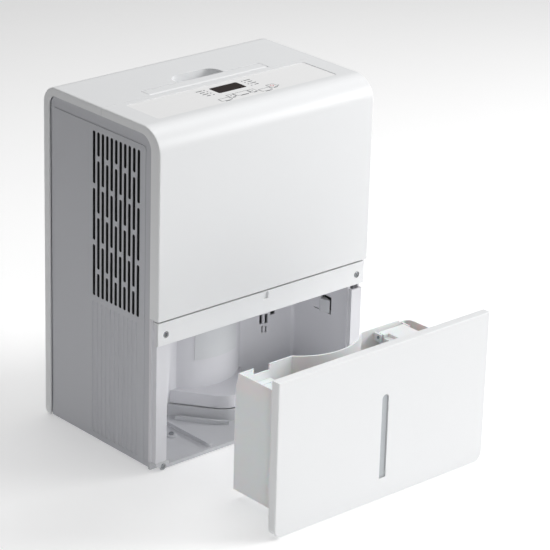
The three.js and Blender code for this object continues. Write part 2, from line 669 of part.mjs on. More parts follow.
// ---------- carrying handle ----------
function carryHandle() {
  const radius = HANDLE_THICKNESS / 2;
  const profile = new THREE.Shape();
  profile.moveTo(PIVOT_Y, HEIGHT);
  profile.absarc(PIVOT_Y, PIVOT_Z, radius, Math.PI / 2, Math.PI * 1.5);
  profile.lineTo(PIVOT_Y + HANDLE_REACH - 3, HEIGHT - HANDLE_THICKNESS);
  profile.lineTo(PIVOT_Y + HANDLE_REACH, HEIGHT - HANDLE_THICKNESS + 3);
  profile.lineTo(PIVOT_Y + HANDLE_REACH, HEIGHT - 1);
  profile.lineTo(PIVOT_Y + HANDLE_REACH - 1, HEIGHT);
  const half = HANDLE_LENGTH / 2;
  return cut(
    prism(profile, "x", -half, half, 6),
    bar("x", PIVOT_Y, PIVOT_Z, -half - 1, -half + 7, 2.6, 6),
    bar("x", PIVOT_Y, PIVOT_Z, half - 7, half + 1, 2.6, 6),
  );
}

// ---------- bucket ----------
const panelTop = COVER_BOTTOM - 0.7;
const panelRadii = [PANEL_CORNER_RADIUS, PANEL_CORNER_RADIUS, 0, 0];
const windowShape = (grow) => {
  const half = LEVEL_WINDOW_WIDTH / 2 + grow;
  const low = LEVEL_WINDOW_FROM - grow;
  return roundedRectangle(-half, low, half, LEVEL_WINDOW_TO + grow, [0.5, 0.5, half - 0.1, half - 0.1]);
};

function bucketPanel() {
  const outer = roundedRectangle(LEFT, PANEL_BOTTOM, RIGHT, panelTop, panelRadii);
  const inner = roundedRectangle(
    LEFT + LIP_WALL,
    PANEL_BOTTOM + LIP_WALL,
    RIGHT - LIP_WALL,
    panelTop - LIP_WALL,
    [PANEL_CORNER_RADIUS - LIP_WALL, PANEL_CORNER_RADIUS - LIP_WALL, 0, 0],
  );
  const flat = RIGHT - PANEL_CORNER_RADIUS + 2.5;
  return cut(
    prism(outer, "y", FRONT, FRONT + PANEL_LIP, 8),
    prism(inner, "y", FRONT + LIP_WALL, FRONT + PANEL_LIP + 1, 8),
    block(-flat, flat, FRONT + POST_RECESS - RUNNING, FRONT + PANEL_LIP + 1, 0, PANEL_BOTTOM + LIP_WALL + 1),
    prism(windowShape(0), "y", FRONT - 1, FRONT + LIP_WALL + 1, 6),
  );
}

const tankLeft = BAY_LEFT + TANK_LEFT_GAP;
const tankRight = BAY_RIGHT - TANK_RIGHT_GAP;
const tankFront = FRONT + LIP_WALL + FIT;
const tankBack = BAY_BACK - TANK_BACK_GAP;

// The tank from above, its walls moved inwards by inset.
function tankPlan(inset) {
  const back = tankBack - inset;
  const radius = BULGE_RADIUS + TANK_CLEARANCE + inset;
  const reach = Math.sqrt(radius ** 2 - (BULGE_Y - back) ** 2);
  const corner = TANK_CORNER_RADIUS - inset;
  const start = Math.atan2(back - BULGE_Y, reach);
  const end = Math.atan2(back - BULGE_Y, -reach);
  const left = tankLeft + inset;
  const right = tankRight - inset;
  const front = tankFront + inset;
  const shape = new THREE.Shape();
  shape.moveTo(left, front);
  shape.lineTo(right, front);
  shape.lineTo(right, back - corner);
  shape.absarc(right - corner, back - corner, corner, 0, Math.PI / 2);
  shape.lineTo(COMPRESSOR_X + reach, back);
  shape.absarc(COMPRESSOR_X, BULGE_Y, radius, start, end, true);
  shape.lineTo(left, back);
  shape.lineTo(left, front);
  return shape;
}

// The plinth's way through the tank's lower back, its walls grown by grow.
const plinthTunnel = (grow, from, to) =>
  prism(plinthPlan(PLINTH_STEP + TANK_CLEARANCE + grow, tankBack + 5), "z", from, to, 14);

// What the left wall's lean takes off at the rim, moved inwards by inset.
function rimLean(inset) {
  const left = tankLeft + inset;
  const wedge = new THREE.Shape();
  wedge.moveTo(left - 1, TANK_TOP - TANK_RIM_HEIGHT);
  wedge.lineTo(left, TANK_TOP - TANK_RIM_HEIGHT);
  wedge.lineTo(left + TANK_RIM_SLOPE, TANK_TOP);
  wedge.lineTo(left + TANK_RIM_SLOPE, TANK_TOP + 2);
  wedge.lineTo(left - 1, TANK_TOP + 2);
  return prism(wedge, "y", tankFront - 2, tankBack + 2);
}

const floatSize = { left: 98, right: 146, back: tankBack - 6, length: 39, height: 30 };
const floatPivot = { y: floatSize.back - 5, z: 176 };
const SHELF_Z = 163;
const SHELF_RIGHT = tankLeft + 60;

function waterTank() {
  const tunnelTop = PLINTH_TOP + TANK_CLEARANCE;
  const shell = cut(
    prism(tankPlan(0), "z", TANK_BOTTOM, TANK_TOP, 8),
    rimLean(0),
    plinthTunnel(0, TANK_BOTTOM - 1, tunnelTop),
    cut(
      prism(tankPlan(TANK_WALL), "z", TANK_BOTTOM + TANK_WALL, TANK_TOP + 1, 8),
      rimLean(TANK_WALL),
      plinthTunnel(TANK_WALL, TANK_BOTTOM - 1, tunnelTop + TANK_WALL),
    ),
  );
  const shelfTop = SHELF_Z + 2;
  const shelf = block(tankLeft + 2, SHELF_RIGHT, tankFront + 1, tankBack - 1, SHELF_Z, shelfTop);
  const shelfLip = block(SHELF_RIGHT - 2, SHELF_RIGHT, tankFront + 1, tankBack - 1, SHELF_Z - 10, shelfTop);
  const ears = [floatSize.left - 4, floatSize.right + 1.5].map((x) =>
    block(x, x + 2.5, floatPivot.y - 5, tankBack - 1, floatPivot.z - 6, floatPivot.z + 5),
  );
  const above = TANK_TOP + 1;
  const rimNotch = block(tankLeft + 30, tankLeft + 58, tankBack - 5, tankBack + 1, TANK_TOP - 9, above);
  const rimStep = block(tankRight - 21, tankRight + 1, tankFront - 1, tankBack + 1, TANK_TOP - 3, above);
  const shelfSlot = block(
    tankLeft + 34, tankLeft + 50,
    tankBack - 22, tankBack - 13,
    shelfTop - 0.8, shelfTop + 1,
  );
  const pinHole = bar("x", floatPivot.y, floatPivot.z, floatSize.left - 6, floatSize.right + 6, 2.3, 6);
  return cut(join(shell, shelf, shelfLip, ...ears), rimNotch, rimStep, shelfSlot, pinHole);
}

function waterFloat() {
  const { left, right, back, length, height } = floatSize;
  const top = floatPivot.z + 5;
  const profile = new THREE.Shape();
  profile.moveTo(back, top);
  profile.lineTo(back - length, top);
  profile.lineTo(back - length, top - height);
  profile.lineTo(back - 14, top - height);
  profile.lineTo(back, top - 12);
  return cut(
    prism(profile, "x", left, right),
    block(left - 1, left + 9, back - length - 1, back - 12, top - 5, top + 1),
    bar("x", floatPivot.y, floatPivot.z, left - 1, right + 1, 2.4, 6),
  );
}

// ---------- bucket switch in the bay's right wall ----------
function bucketLever() {
  const x = BAY_RIGHT - lever.proud;
  const back = lever.front + lever.length;
  const top = lever.bottom + lever.height;
  const ramp = new THREE.Shape();
  ramp.moveTo(BAY_RIGHT + 0.6, lever.front);
  ramp.lineTo(BAY_RIGHT + 1.8, lever.front);
  ramp.lineTo(BAY_RIGHT + WALL + 3, back - 3);
  ramp.lineTo(BAY_RIGHT + WALL + 3, back);
  ramp.lineTo(x, back);
  ramp.lineTo(x, back - 4);
  return prism(ramp, "z", lever.bottom, top);
}

// ---------- fan ----------
function fanWheel() {
  const front = FRONT + 48;
  const back = front + 68;
  const discs = join(
    bar("y", FAN_X, FAN_Z, front, front + 3, FAN_RADIUS, 20),
    bar("y", FAN_X, FAN_Z, front, front + 22, 12, 6),
  );
  const ring = cut(
    bar("y", FAN_X, FAN_Z, back - 3, back, FAN_RADIUS, 20),
    bar("y", FAN_X, FAN_Z, back - 4, back + 1, FAN_RADIUS - 16, 20),
  );
  const blades = [];
  const count = 24;
  for (let i = 0; i < count; i += 1) {
    const angle = (i / count) * Math.PI * 2;
    const blade = new THREE.BoxGeometry(14, back - front - 2, 1.6);
    blade.rotateY(0.6);
    blade.translate(FAN_RADIUS - 8.5, 0, 0);
    blade.rotateY(angle);
    blade.translate(FAN_X, (front + back) / 2, FAN_Z);
    blades.push(toSolid(blade));
  }
  return cut(join(discs, ring, ...blades), bar("y", FAN_X, FAN_Z, front - 1, front + 30, 4.1, 6));
}

function fanScroll() {
  const front = FRONT + 40;
  const back = front + 96;
  const mouth = -SIDE_BACK + FIT;
  const shape = (inset, x0) => {
    const radius = SCROLL_RADIUS - inset;
    const outline = new THREE.Shape();
    outline.moveTo(x0, FAN_Z - radius);
    outline.lineTo(FAN_X, FAN_Z - radius);
    outline.absarc(FAN_X, FAN_Z, radius, -Math.PI / 2, Math.PI / 2);
    outline.lineTo(x0, FAN_Z + radius);
    return outline;
  };
  return cut(
    prism(shape(0, mouth), "y", front, back, 16),
    prism(shape(WALL, mouth - 5), "y", front + WALL, back - WALL, 16),
    bar("y", FAN_X, FAN_Z, back - WALL - 1, back + 1, FAN_RADIUS - 12, 16),
    bar("y", FAN_X, FAN_Z, front - 1, front + WALL + 1, 16, 6),
  );
}

function fanMotor() {
  const front = FRONT + WALL + 5;
  return join(
    bar("y", FAN_X, FAN_Z, front, FRONT + 40 - FIT, 40, 12),
    bar("y", FAN_X, FAN_Z, FRONT + 38, FRONT + 46, 14, 6),
    bar("y", FAN_X, FAN_Z, FRONT + 40, FRONT + 66, 3.7, 6),
  );
}

// ---------- refrigeration unit ----------
const coilLeft = -150;
const coilRight = 150;
const coilBottom = 214;
const coilTop = HEIGHT - 54;
const TRAY_Z = BAY_TOP + WALL + 2.5;

// A finned block between two end plates that stand a little proud of it.
function coil(front, depth) {
  const fins = block(coilLeft + 6, coilRight - 6, front + 2, front + depth - 2, coilBottom + 4, coilTop - 4);
  const plates = [coilLeft, coilRight - 1.5].map((x) =>
    block(x, x + 1.5, front, front + depth, coilBottom, coilTop),
  );
  const tubes = [];
  const rows = 4;
  for (let row = 0; row < rows; row += 1) {
    const z = coilBottom + 25 + (row * (coilTop - coilBottom - 50)) / (rows - 1);
    tubes.push(bar("x", front + depth / 2, z, coilLeft - 6, coilRight + 6, 4, 4));
  }
  return join(fins, ...plates, ...tubes);
}

function dripTray() {
  const back = BACK - WALL - 2;
  const front = BACK - 93;
  const tray = cut(
    block(coilLeft - 4, coilRight + 4, front, back, TRAY_Z, TRAY_Z + 13),
    block(coilLeft - 2, coilRight + 2, front + 2, back - 2, TRAY_Z + 2, TRAY_Z + 14),
  );
  const channelFront = BAY_BACK - 20;
  const channel = cut(
    block(94, 114, channelFront, front + 3, TRAY_Z, TRAY_Z + 13),
    block(96, 112, channelFront + 2, front + 5, TRAY_Z + 2, TRAY_Z + 14),
    block(99, 109, channelFront + 4, channelFront + 12, TRAY_Z - 1, TRAY_Z + 3),
  );
  return join(cut(tray, block(96, 112, front - 1, front + 3, TRAY_Z + 2, TRAY_Z + 14)), channel);
}

function partition() {
  const y = FRONT + 136 + 3;
  const plate = block(-SIDE_BACK + 1, SIDE_BACK - 1, y, y + 1.2, TRAY_Z + 16, HEIGHT - 34);
  return cut(
    plate,
    bar("y", FAN_X, FAN_Z, y - 1, y + 3, FAN_RADIUS + 14, 16),
    block(-SIDE_BACK, coilLeft - 16, y - 1, y + 3, TRAY_Z, FAN_Z - 40),
  );
}

const GROMMET_TOP = 31;
const grommetPlaces = [90, 210, 330].map((degrees) => {
  const angle = (degrees * Math.PI) / 180;
  return [COMPRESSOR_X + Math.cos(angle) * 46, BULGE_Y + Math.sin(angle) * 46];
});

function compressor() {
  const r = COMPRESSOR_RADIUS;
  const low = GROMMET_TOP + FIT;
  const body = turned([
    [0, low + 8],
    [r - 16, low + 10],
    [r - 3, low + 20],
    [r, low + 32],
    [r, COMPRESSOR_TOP - 34],
    [r - 4, COMPRESSOR_TOP - 18],
    [r - 20, COMPRESSOR_TOP - 5],
    [0, COMPRESSOR_TOP],
  ]).translate([COMPRESSOR_X, BULGE_Y, 0]);
  const plate = bar("z", COMPRESSOR_X, BULGE_Y, low, low + 3, 54, 6);
  const neck = bar("z", COMPRESSOR_X, BULGE_Y, low + 2, low + 12, 24, 6);
  return join(body, plate, neck);
}

const accumulator = { x: -74, y: BULGE_Y + 12, bottom: 60, top: 172 };

// ---------- screws ----------
// A cross-head screw along the y axis, its head towards the front.
function screwSolid() {
  const head = bar("y", 0, 0, 0, 2, 4, 5);
  const shank = bar("y", 0, 0, 1, 10, 1.9, 3);
  const cross = join(block(-2.4, 2.4, -1, 1.1, -0.5, 0.5), block(-0.5, 0.5, -1, 1.1, -2.4, 2.4));
  return cut(join(head, shank), cross);
}

// ---------- assembly: casing ----------
casing.add(node("front_cover", frontCover(), whitePlastic));
casing.add(node("rear_cover", rearCover(), whitePlastic));
const rightPanel = sidePanel();
const leftPanel = cut(rightPanel.mirror([1, 0, 0]), grilleSlots());
casing.add(node("left_side_panel", leftPanel, sideGrey));
casing.add(node("right_side_panel", rightPanel, sideGrey));
casing.add(node("front_frame", frontFrame(), sideGrey));
casing.add(node("front_strip", frontStrip(), whitePlastic));
casing.add(node("base_pan", basePan(), sideGrey));

const FOOT_INSET = 30;
for (const [side, x] of [["left", LEFT + FOOT_INSET], ["right", RIGHT - FOOT_INSET]]) {
  for (const [end, y] of [["front", FRONT + FOOT_INSET], ["rear", BACK - FOOT_INSET]]) {
    const foot = bar("z", 0, 0, 0, FOOT_HEIGHT - 0.3, 13, 6);
    casing.add(placed(node(`foot_${end}_${side}`, foot, rubber), x, y, 0));
  }
}

for (const [side, sign] of [["left", -1], ["right", 1]]) {
  const stripScrew = node(`strip_screw_${side}`, screwSolid(), screwSteel);
  casing.add(placed(stripScrew, sign * screwX, FRONT + STRIP_RECESS + 0.3, stripScrewZ));
  const baseScrew = node(`base_screw_${side}`, screwSolid(), screwSteel);
  casing.add(placed(baseScrew, sign * screwX, FRONT + POST_RECESS - 0.6, baseScrewZ));
}
const upright = node("bay_floor_screw", screwSolid(), screwSteel);
upright.rotation.x = -Math.PI / 2;
casing.add(placed(upright, floorScrew.x, floorScrew.y, BAY_FLOOR + 5.4));

const labelSpan = 26.5 * (Math.PI / 180);
const labelShape = new THREE.Shape();
labelShape.absarc(
  COMPRESSOR_X, BULGE_Y, BULGE_RADIUS + 0.9,
  -Math.PI / 2 - labelSpan, -Math.PI / 2 + labelSpan,
);
labelShape.absarc(
  COMPRESSOR_X, BULGE_Y, BULGE_RADIUS + 0.3,
  -Math.PI / 2 + labelSpan, -Math.PI / 2 - labelSpan, true,
);
casing.add(node("blank_label", prism(labelShape, "z", 90, 150, 8), labelSilver));

const switchBody = block(
  BAY_RIGHT + WALL + 7, BAY_RIGHT + WALL + 14,
  lever.front - 2, lever.front + lever.length + 4,
  lever.bottom, lever.bottom + lever.height,
);
casing.add(node("bucket_switch", switchBody, darkPlastic));

const spout = cut(
  bar("y", drain.x, drain.z, BACK - 30, BACK - 6, drain.radius, 8),
  bar("y", drain.x, drain.z, BACK - 27, BACK - 5, drain.radius - 2, 8),
);
casing.add(node("drain_spout", spout, darkPlastic));
const cordGland = cut(
  bar("y", gland.x, gland.z, BACK - 16, BACK, gland.radius, 8),
  bar("y", gland.x, gland.z, BACK - 17, BACK + 1, 4, 6),
);
casing.add(node("cord_gland", cordGland, rubber));

// ---------- assembly: controls ----------
casing.add(node("control_fascia", controlFascia(), whitePlastic));
const displayPlate = prism(displayShape(0), "z", fasciaTop - FASCIA_THICKNESS, fasciaTop + 0.1, 3);
casing.add(node("display_window", displayPlate, blackGloss));
casing.add(node("left_lamp_guide", lampGuide(-LAMP_X), lampGrey));
casing.add(node("right_lamp_guide", lampGuide(LAMP_X, powerLampArm()), lampGrey));
const board = block(
  -CONTROL_HALF + 2, CONTROL_HALF - 2,
  fasciaFront + 5, fasciaBack - 8,
  fasciaTop - 13, fasciaTop - 11.4,
);
casing.add(node("control_board", board, boardGreen));
for (const key of keys) {
  const cap = prism(keyShape(key, 0), "z", fasciaTop - 5, fasciaTop + 0.3, 3);
  casing.add(node(key.name, cap, whitePlastic));
}

casing.add(node("carry_handle", carryHandle(), whitePlastic));
for (const [side, sign] of [["left", -1], ["right", 1]]) {
  const half = HANDLE_LENGTH / 2;
  const ends = [sign * (half - 6), sign * (half + 7)].sort((a, b) => a - b);
  casing.add(node(`handle_pin_${side}`, bar("x", PIVOT_Y, PIVOT_Z, ...ends, 2.2, 6), screwSteel));
}

// ---------- assembly: rear intake ----------
function filterFrame() {
  const half = FILTER_WIDTH / 2 - RUNNING;
  const low = FILTER_BOTTOM + RUNNING;
  const high = FILTER_TOP - RUNNING;
  const rim = 9;
  const ring = cut(
    block(-half, half, BACK - 8, BACK, low, high),
    block(-half + rim, half - rim, BACK - 9, BACK + 1, low + rim, high - rim),
  );
  const uprights = [];
  const count = 11;
  for (let i = 1; i <= count; i += 1) {
    const x = -half + rim + (i * 2 * (half - rim)) / (count + 1);
    uprights.push(block(x - 1.5, x + 1.5, BACK - 6, BACK - 1, low + 2, high - 2));
  }
  const crossbars = [1, 2, 3].map((i) => {
    const z = low + (i * (high - low)) / 4;
    return block(-half + 2, half - 2, BACK - 5, BACK - 2, z - 1.5, z + 1.5);
  });
  return join(ring, ...uprights, ...crossbars);
}
casing.add(node("filter_frame", filterFrame(), whitePlastic));
const meshHalf = FILTER_WIDTH / 2 - 4;
const meshPlate = block(-meshHalf, meshHalf, BACK - 9.4, BACK - 8.4, FILTER_BOTTOM + 4, FILTER_TOP - 4);
casing.add(node("filter_mesh", meshPlate, darkPlastic));
const plug = join(
  bar("y", drain.x, drain.z, BACK - 16, BACK - 3, drain.radius - 2.6, 8),
  bar("y", drain.x, drain.z, BACK - 5, BACK - 1, drain.radius + 1.5, 8),
);
casing.add(node("drain_plug", plug, rubber));

// ---------- assembly: inside ----------
casing.add(node("evaporator", coil(BACK - 46, 30), finAluminium));
casing.add(node("condenser", coil(BACK - 84, 32), finAluminium));
casing.add(node("drip_tray", dripTray(), darkPlastic));
casing.add(node("partition_plate", partition(), galvanised));
casing.add(node("compressor", compressor(), blackPaint));
grommetPlaces.forEach(([x, y], i) => {
  const grommet = bar("z", 0, 0, BAY_FLOOR + 0.3, GROMMET_TOP, 8, 5);
  casing.add(placed(node(`compressor_grommet_${i + 1}`, grommet, rubber), x, y, 0));
});
const accumulatorBody = turned([
  [0, accumulator.bottom],
  [10, accumulator.bottom + 6],
  [16, accumulator.bottom + 16],
  [16, accumulator.top - 16],
  [8, accumulator.top - 4],
  [0, accumulator.top],
], 14).translate([accumulator.x, accumulator.y, 0]);
casing.add(node("accumulator", accumulatorBody, copper));
const suction = pipe([
  [accumulator.x, accumulator.y, accumulator.top + 0.4],
  [accumulator.x, accumulator.y, accumulator.top + 8],
  [accumulator.x - 40, accumulator.y + 6, accumulator.top + 13],
  [coilLeft - 14, BACK - 36, accumulator.top + 16],
  [coilLeft - 16, BACK - 31, coilBottom + 10],
  [coilLeft - 16, BACK - 31, coilBottom + 24],
], 4, 22);
casing.add(node("suction_pipe", suction, copper));
const discharge = pipe([
  [COMPRESSOR_X, BULGE_Y - 20, COMPRESSOR_TOP - 0.6],
  [COMPRESSOR_X, BULGE_Y - 20.5, COMPRESSOR_TOP + 3],
  [COMPRESSOR_X + 10, BULGE_Y - 22, COMPRESSOR_TOP + 6],
  [coilRight - 30, BULGE_Y - 24, COMPRESSOR_TOP + 5],
  [coilRight + 10, BACK - 80, COMPRESSOR_TOP + 8],
  [coilRight + 14, BACK - 68, coilBottom + 10],
  [coilRight + 14, BACK - 68, coilTop - 40],
], 3, 30);
casing.add(node("discharge_pipe", discharge, copper));
casing.add(node("fan_scroll", fanScroll(), darkPlastic));
casing.add(node("fan_motor", fanMotor(), galvanised));
casing.add(node("fan_wheel", fanWheel(), darkPlastic));
const powerBox = block(
  FAN_X + SCROLL_RADIUS + 4, SIDE_BACK - 3,
  FRONT + 40, FRONT + 100,
  COVER_BOTTOM + 12, HEIGHT - 100,
);
casing.add(node("power_board_box", powerBox, darkPlastic));
const capacitor = placed(node("run_capacitor", bar("z", 0, 0, 0, 70, 18, 8), galvanised), 0, 0, 0);
capacitor.position.set(-130, BAY_BACK + 40, BAY_FLOOR + 0.4);
casing.add(capacitor);
casing.add(node("bucket_lever", bucketLever(), sideGrey));

// ---------- assembly: bucket ----------
bucket.add(node("bucket_panel", bucketPanel(), whitePlastic));
bucket.add(node("water_tank", waterTank(), tankPlastic));
const windowPlate = prism(windowShape(-0.3), "y", FRONT + 1.7, FRONT + LIP_WALL, 6);
bucket.add(node("level_window", windowPlate, windowGrey));
bucket.add(node("water_float", waterFloat(), tankPlastic));
const floatPin = bar("x", floatPivot.y, floatPivot.z, floatSize.left - 5, floatSize.right + 5, 1.9, 6);
bucket.add(node("float_pin", floatPin, screwSteel));

const dehumidifier = new THREE.Group();
dehumidifier.add(casing, bucket);
dehumidifier.position.y = BUCKET_OUT / 2;

export default dehumidifier;
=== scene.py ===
# %% [markdown]
# # A floor-standing dehumidifier with its bucket drawn out
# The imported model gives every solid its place, in metres, with the front towards -Y. This script dresses
# it: each moulded shell gets a finer surface with soft edges, each row of slots, fins, blades and screws
# comes from a Geometry Nodes tree, and each piece gets the finish of the plastic or metal that it is made
# of.

import json
import math

import bmesh
import bpy
from mathutils import Matrix, Vector


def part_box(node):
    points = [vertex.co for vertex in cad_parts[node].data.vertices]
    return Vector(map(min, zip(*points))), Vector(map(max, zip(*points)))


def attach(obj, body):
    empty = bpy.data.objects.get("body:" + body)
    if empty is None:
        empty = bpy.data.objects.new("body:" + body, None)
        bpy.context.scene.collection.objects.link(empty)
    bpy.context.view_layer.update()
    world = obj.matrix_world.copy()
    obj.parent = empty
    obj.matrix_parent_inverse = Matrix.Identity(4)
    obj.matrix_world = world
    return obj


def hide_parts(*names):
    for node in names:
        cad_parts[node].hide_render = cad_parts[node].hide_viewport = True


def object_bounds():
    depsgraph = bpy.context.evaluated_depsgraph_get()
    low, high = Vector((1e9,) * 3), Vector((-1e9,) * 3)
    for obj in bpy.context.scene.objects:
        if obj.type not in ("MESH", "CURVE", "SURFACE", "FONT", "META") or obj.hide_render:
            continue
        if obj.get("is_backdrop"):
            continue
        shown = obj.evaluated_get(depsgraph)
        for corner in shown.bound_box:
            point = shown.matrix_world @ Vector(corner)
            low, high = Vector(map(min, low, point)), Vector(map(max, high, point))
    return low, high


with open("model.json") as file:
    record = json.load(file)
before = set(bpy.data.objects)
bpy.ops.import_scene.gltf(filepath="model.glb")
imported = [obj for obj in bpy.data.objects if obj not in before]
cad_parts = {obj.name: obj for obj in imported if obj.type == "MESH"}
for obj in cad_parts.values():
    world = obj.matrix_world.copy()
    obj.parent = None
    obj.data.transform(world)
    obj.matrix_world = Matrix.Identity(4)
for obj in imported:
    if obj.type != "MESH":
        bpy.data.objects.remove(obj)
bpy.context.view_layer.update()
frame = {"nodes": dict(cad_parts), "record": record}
MM = 0.001
nodes = frame["nodes"]
body_of_node = {n: body for body, members in frame["record"]["behaviour"]["bodies"].items() for n in members}

# %% [markdown]
# ## Where things are
# The casing is the front and rear cover together. Most places below are measured from its faces, so its
# box is read once and named.

# %% The casing's faces
cover_low, cover_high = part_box("front_cover")
rear_low, rear_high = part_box("rear_cover")
LEFT, RIGHT = cover_low.x, cover_high.x
FRONT, BACK = cover_low.y, rear_high.y
TOP = cover_high.z
MIDDLE_Y = (FRONT + BACK) / 2
print("casing", round(RIGHT - LEFT, 4), "x", round(BACK - FRONT, 4), "x", round(TOP, 4))

# %% [markdown]
# ## Colours
# A finish is easiest to name as an sRGB hex value, the way a colour card gives it, but shaders work in
# linear light. One function turns one into the other.

# %% Hex to linear
def linear(hex_colour):
    """An sRGB hex colour as the linear RGBA that a shader socket takes."""
    values = [int(hex_colour[i : i + 2], 16) / 255 for i in (1, 3, 5)]
    curve = [v / 12.92 if v <= 0.04045 else ((v + 0.055) / 1.055) ** 2.4 for v in values]
    return (*curve, 1.0)


# %% [markdown]
# ## One helper for all node trees
# A node, its settings and its links are written in one line, in shader trees and in geometry trees alike.

# %% Add a node
def add(tree, kind, values=None, links=None, **settings):
    """Adds a node; values fill its input sockets, links join them to (node, output) pairs."""
    made = tree.nodes.new(kind)
    for key, value in settings.items():
        setattr(made, key, value)
    for key, value in (values or {}).items():
        made.inputs[key].default_value = value
    for key, (source, output) in (links or {}).items():
        tree.links.new(source.outputs[output], made.inputs[key])
    return made


# %% [markdown]
# ## Moulded plastic
# Every moulded piece carries the texture of its mould. Spark erosion leaves pits of about 0.2 mm on a
# fine one and 0.6 mm on a coarse one; they scatter the gloss and keep large faces from looking like
# glass. The pits are drawn as a noise bump, a little coarser than real so that they show, and a second,
# much larger noise moves the roughness a few hundredths, as handling and uneven cooling do.

# %% Plastic materials
DRIFT = 0.04  # how far the roughness moves each way


def moulded(name, colour, roughness, grain_mm, depth_mm, **principled):
    """A moulded plastic: grain_mm is the size of the mould's pits and depth_mm their depth."""
    material = bpy.data.materials.new(name)
    material.use_nodes = True
    tree = material.node_tree
    shader = tree.nodes["Principled BSDF"]
    shader.inputs["Base Color"].default_value = linear(colour)
    for socket, value in principled.items():
        shader.inputs[socket.replace("_", " ")].default_value = value
    place = add(tree, "ShaderNodeTexCoord")
    pits = add(
        tree,
        "ShaderNodeTexNoise",
        {"Scale": 1 / (grain_mm * MM), "Detail": 2.0},
        {"Vector": (place, "Object")},
    )
    bump = add(
        tree,
        "ShaderNodeBump",
        {"Strength": 0.25, "Distance": depth_mm * MM},
        {"Height": (pits, "Fac")},
    )
    tree.links.new(bump.outputs["Normal"], shader.inputs["Normal"])
    cloud = add(
        tree,
        "ShaderNodeTexNoise",
        {"Scale": 1 / (90 * MM), "Detail": 3.0},
        {"Vector": (place, "Object")},
    )
    drifted = add(
        tree,
        "ShaderNodeMapRange",
        {"To Min": roughness - DRIFT, "To Max": roughness + DRIFT},
        {"Value": (cloud, "Fac")},
    )
    tree.links.new(drifted.outputs["Result"], shader.inputs["Roughness"])
    return material


# White ABS with a satin mould: bright, with a broad soft highlight along each rounded edge.
WHITE_ABS = moulded("satin_white_ABS", "#F1F2F3", 0.36, 0.9, 0.03)
# The same ABS from a coarser mould, used for the strip above the bay: a little flatter.
FRAME_ABS = moulded("matt_white_ABS", "#F3F4F5", 0.46, 1.1, 0.05)
# Pale grey ABS with a sandblasted mould: the side panels read matt beside the white shell.
GREY_ABS = moulded("sandblasted_grey_ABS", "#C9CACF", 0.52, 1.3, 0.08)
# The liner of the bay is a pale grey from a plain mould, set paler still so that the deep bay stays bright:
# partly the liner's own grey, partly painted light.
LINER_ABS = moulded("pale_grey_ABS", "#E3E3E7", 0.48, 1.2, 0.05)
# The base is a darker grey, in polypropylene.
BASE_PP = moulded("grey_polypropylene", "#CFD0D3", 0.5, 1.2, 0.05)
# Thin white polypropylene lets a little light through, so its shadows stay soft and bright.
TANK_PP = moulded(
    "milky_polypropylene", "#F3F5F6", 0.4, 1.4, 0.04,
    Subsurface_Weight=0.25, Subsurface_Scale=0.006,
)
# The control fascia is a gloss moulding, whiter than the cover around it.
FASCIA_ABS = moulded("gloss_white_ABS", "#FCFCFC", 0.3, 0.9, 0.01)
DARK_PP = moulded("dark_grey_polypropylene", "#3B3D40", 0.55, 1.0, 0.05)
# Near-black paint for the walls and ends of the side slots: painted shade for the dark space behind the
# grille.
SLOT_SHADE_PAINT = moulded("painted_slot_shade", "#232427", 0.8, 1.0, 0.05)
SMOKED_SAN = moulded("smoked_SAN", "#B5B9BD", 0.22, 3.0, 0.01, Coat_Weight=0.3)
TINTED_ACRYLIC = moulded("tinted_acrylic", "#3A3331", 0.12, 3.0, 0.01, Coat_Weight=0.6)
LAMP_ACRYLIC = moulded("smoked_lamp_acrylic", "#7C7F83", 0.25, 2.0, 0.01)
RUBBER = moulded("moulded_EPDM_rubber", "#242628", 0.82, 1.0, 0.1)
PRINT_GREY = moulded("grey_pad_print", "#5A5D61", 0.5, 1.0, 0.01)
PRINT_RED = moulded("red_pad_print", "#D2464B", 0.5, 1.0, 0.01)
LABEL_FILM = moulded("blank_label_film", "#DDDFE1", 0.38, 2.0, 0.01)
BOARD_GREEN = moulded("solder_mask_green", "#2C6A45", 0.4, 2.0, 0.02)
print("plastics", len(bpy.data.materials))

# %% [markdown]
# ## Metals
# The metal pieces are mostly hidden: plated screws, copper tube, rolled aluminium fins, galvanised sheet
# and the compressor's black enamel. Plating and rolling leave streaks and blotches in how sharp the
# reflection is, so a stretched noise drives the roughness of each.

# %% Metal materials
def metal(name, colour, roughness, patch_mm, metallic=1.0, stretch=(1.0, 1.0, 1.0)):
    """A metal or an enamel over metal; patch_mm is the size of its blotches or streaks."""
    material = bpy.data.materials.new(name)
    material.use_nodes = True
    tree = material.node_tree
    shader = tree.nodes["Principled BSDF"]
    shader.inputs["Base Color"].default_value = linear(colour)
    shader.inputs["Metallic"].default_value = metallic
    place = add(tree, "ShaderNodeTexCoord")
    streaks = add(tree, "ShaderNodeMapping", {"Scale": stretch}, {"Vector": (place, "Object")})
    patches = add(
        tree,
        "ShaderNodeTexNoise",
        {"Scale": 1 / (patch_mm * MM), "Detail": 4.0},
        {"Vector": (streaks, "Vector")},
    )
    spread = add(
        tree,
        "ShaderNodeMapRange",
        {"To Min": roughness * 0.7, "To Max": roughness * 1.3},
        {"Value": (patches, "Fac")},
    )
    tree.links.new(spread.outputs["Result"], shader.inputs["Roughness"])
    return material


ZINC = metal("zinc_plated_steel", "#9DA0A3", 0.34, 3.0)
GALVANISED = metal("galvanised_sheet", "#B5B9BB", 0.42, 12.0)
FIN_STOCK = metal("rolled_aluminium_fin", "#D2D5D8", 0.32, 8.0, stretch=(1.0, 1.0, 0.1))
COPPER = metal("drawn_copper", "#B8714D", 0.28, 20.0)
ENAMEL = metal("black_enamel", "#212325", 0.35, 30.0, metallic=0.0)
print("metals 5")
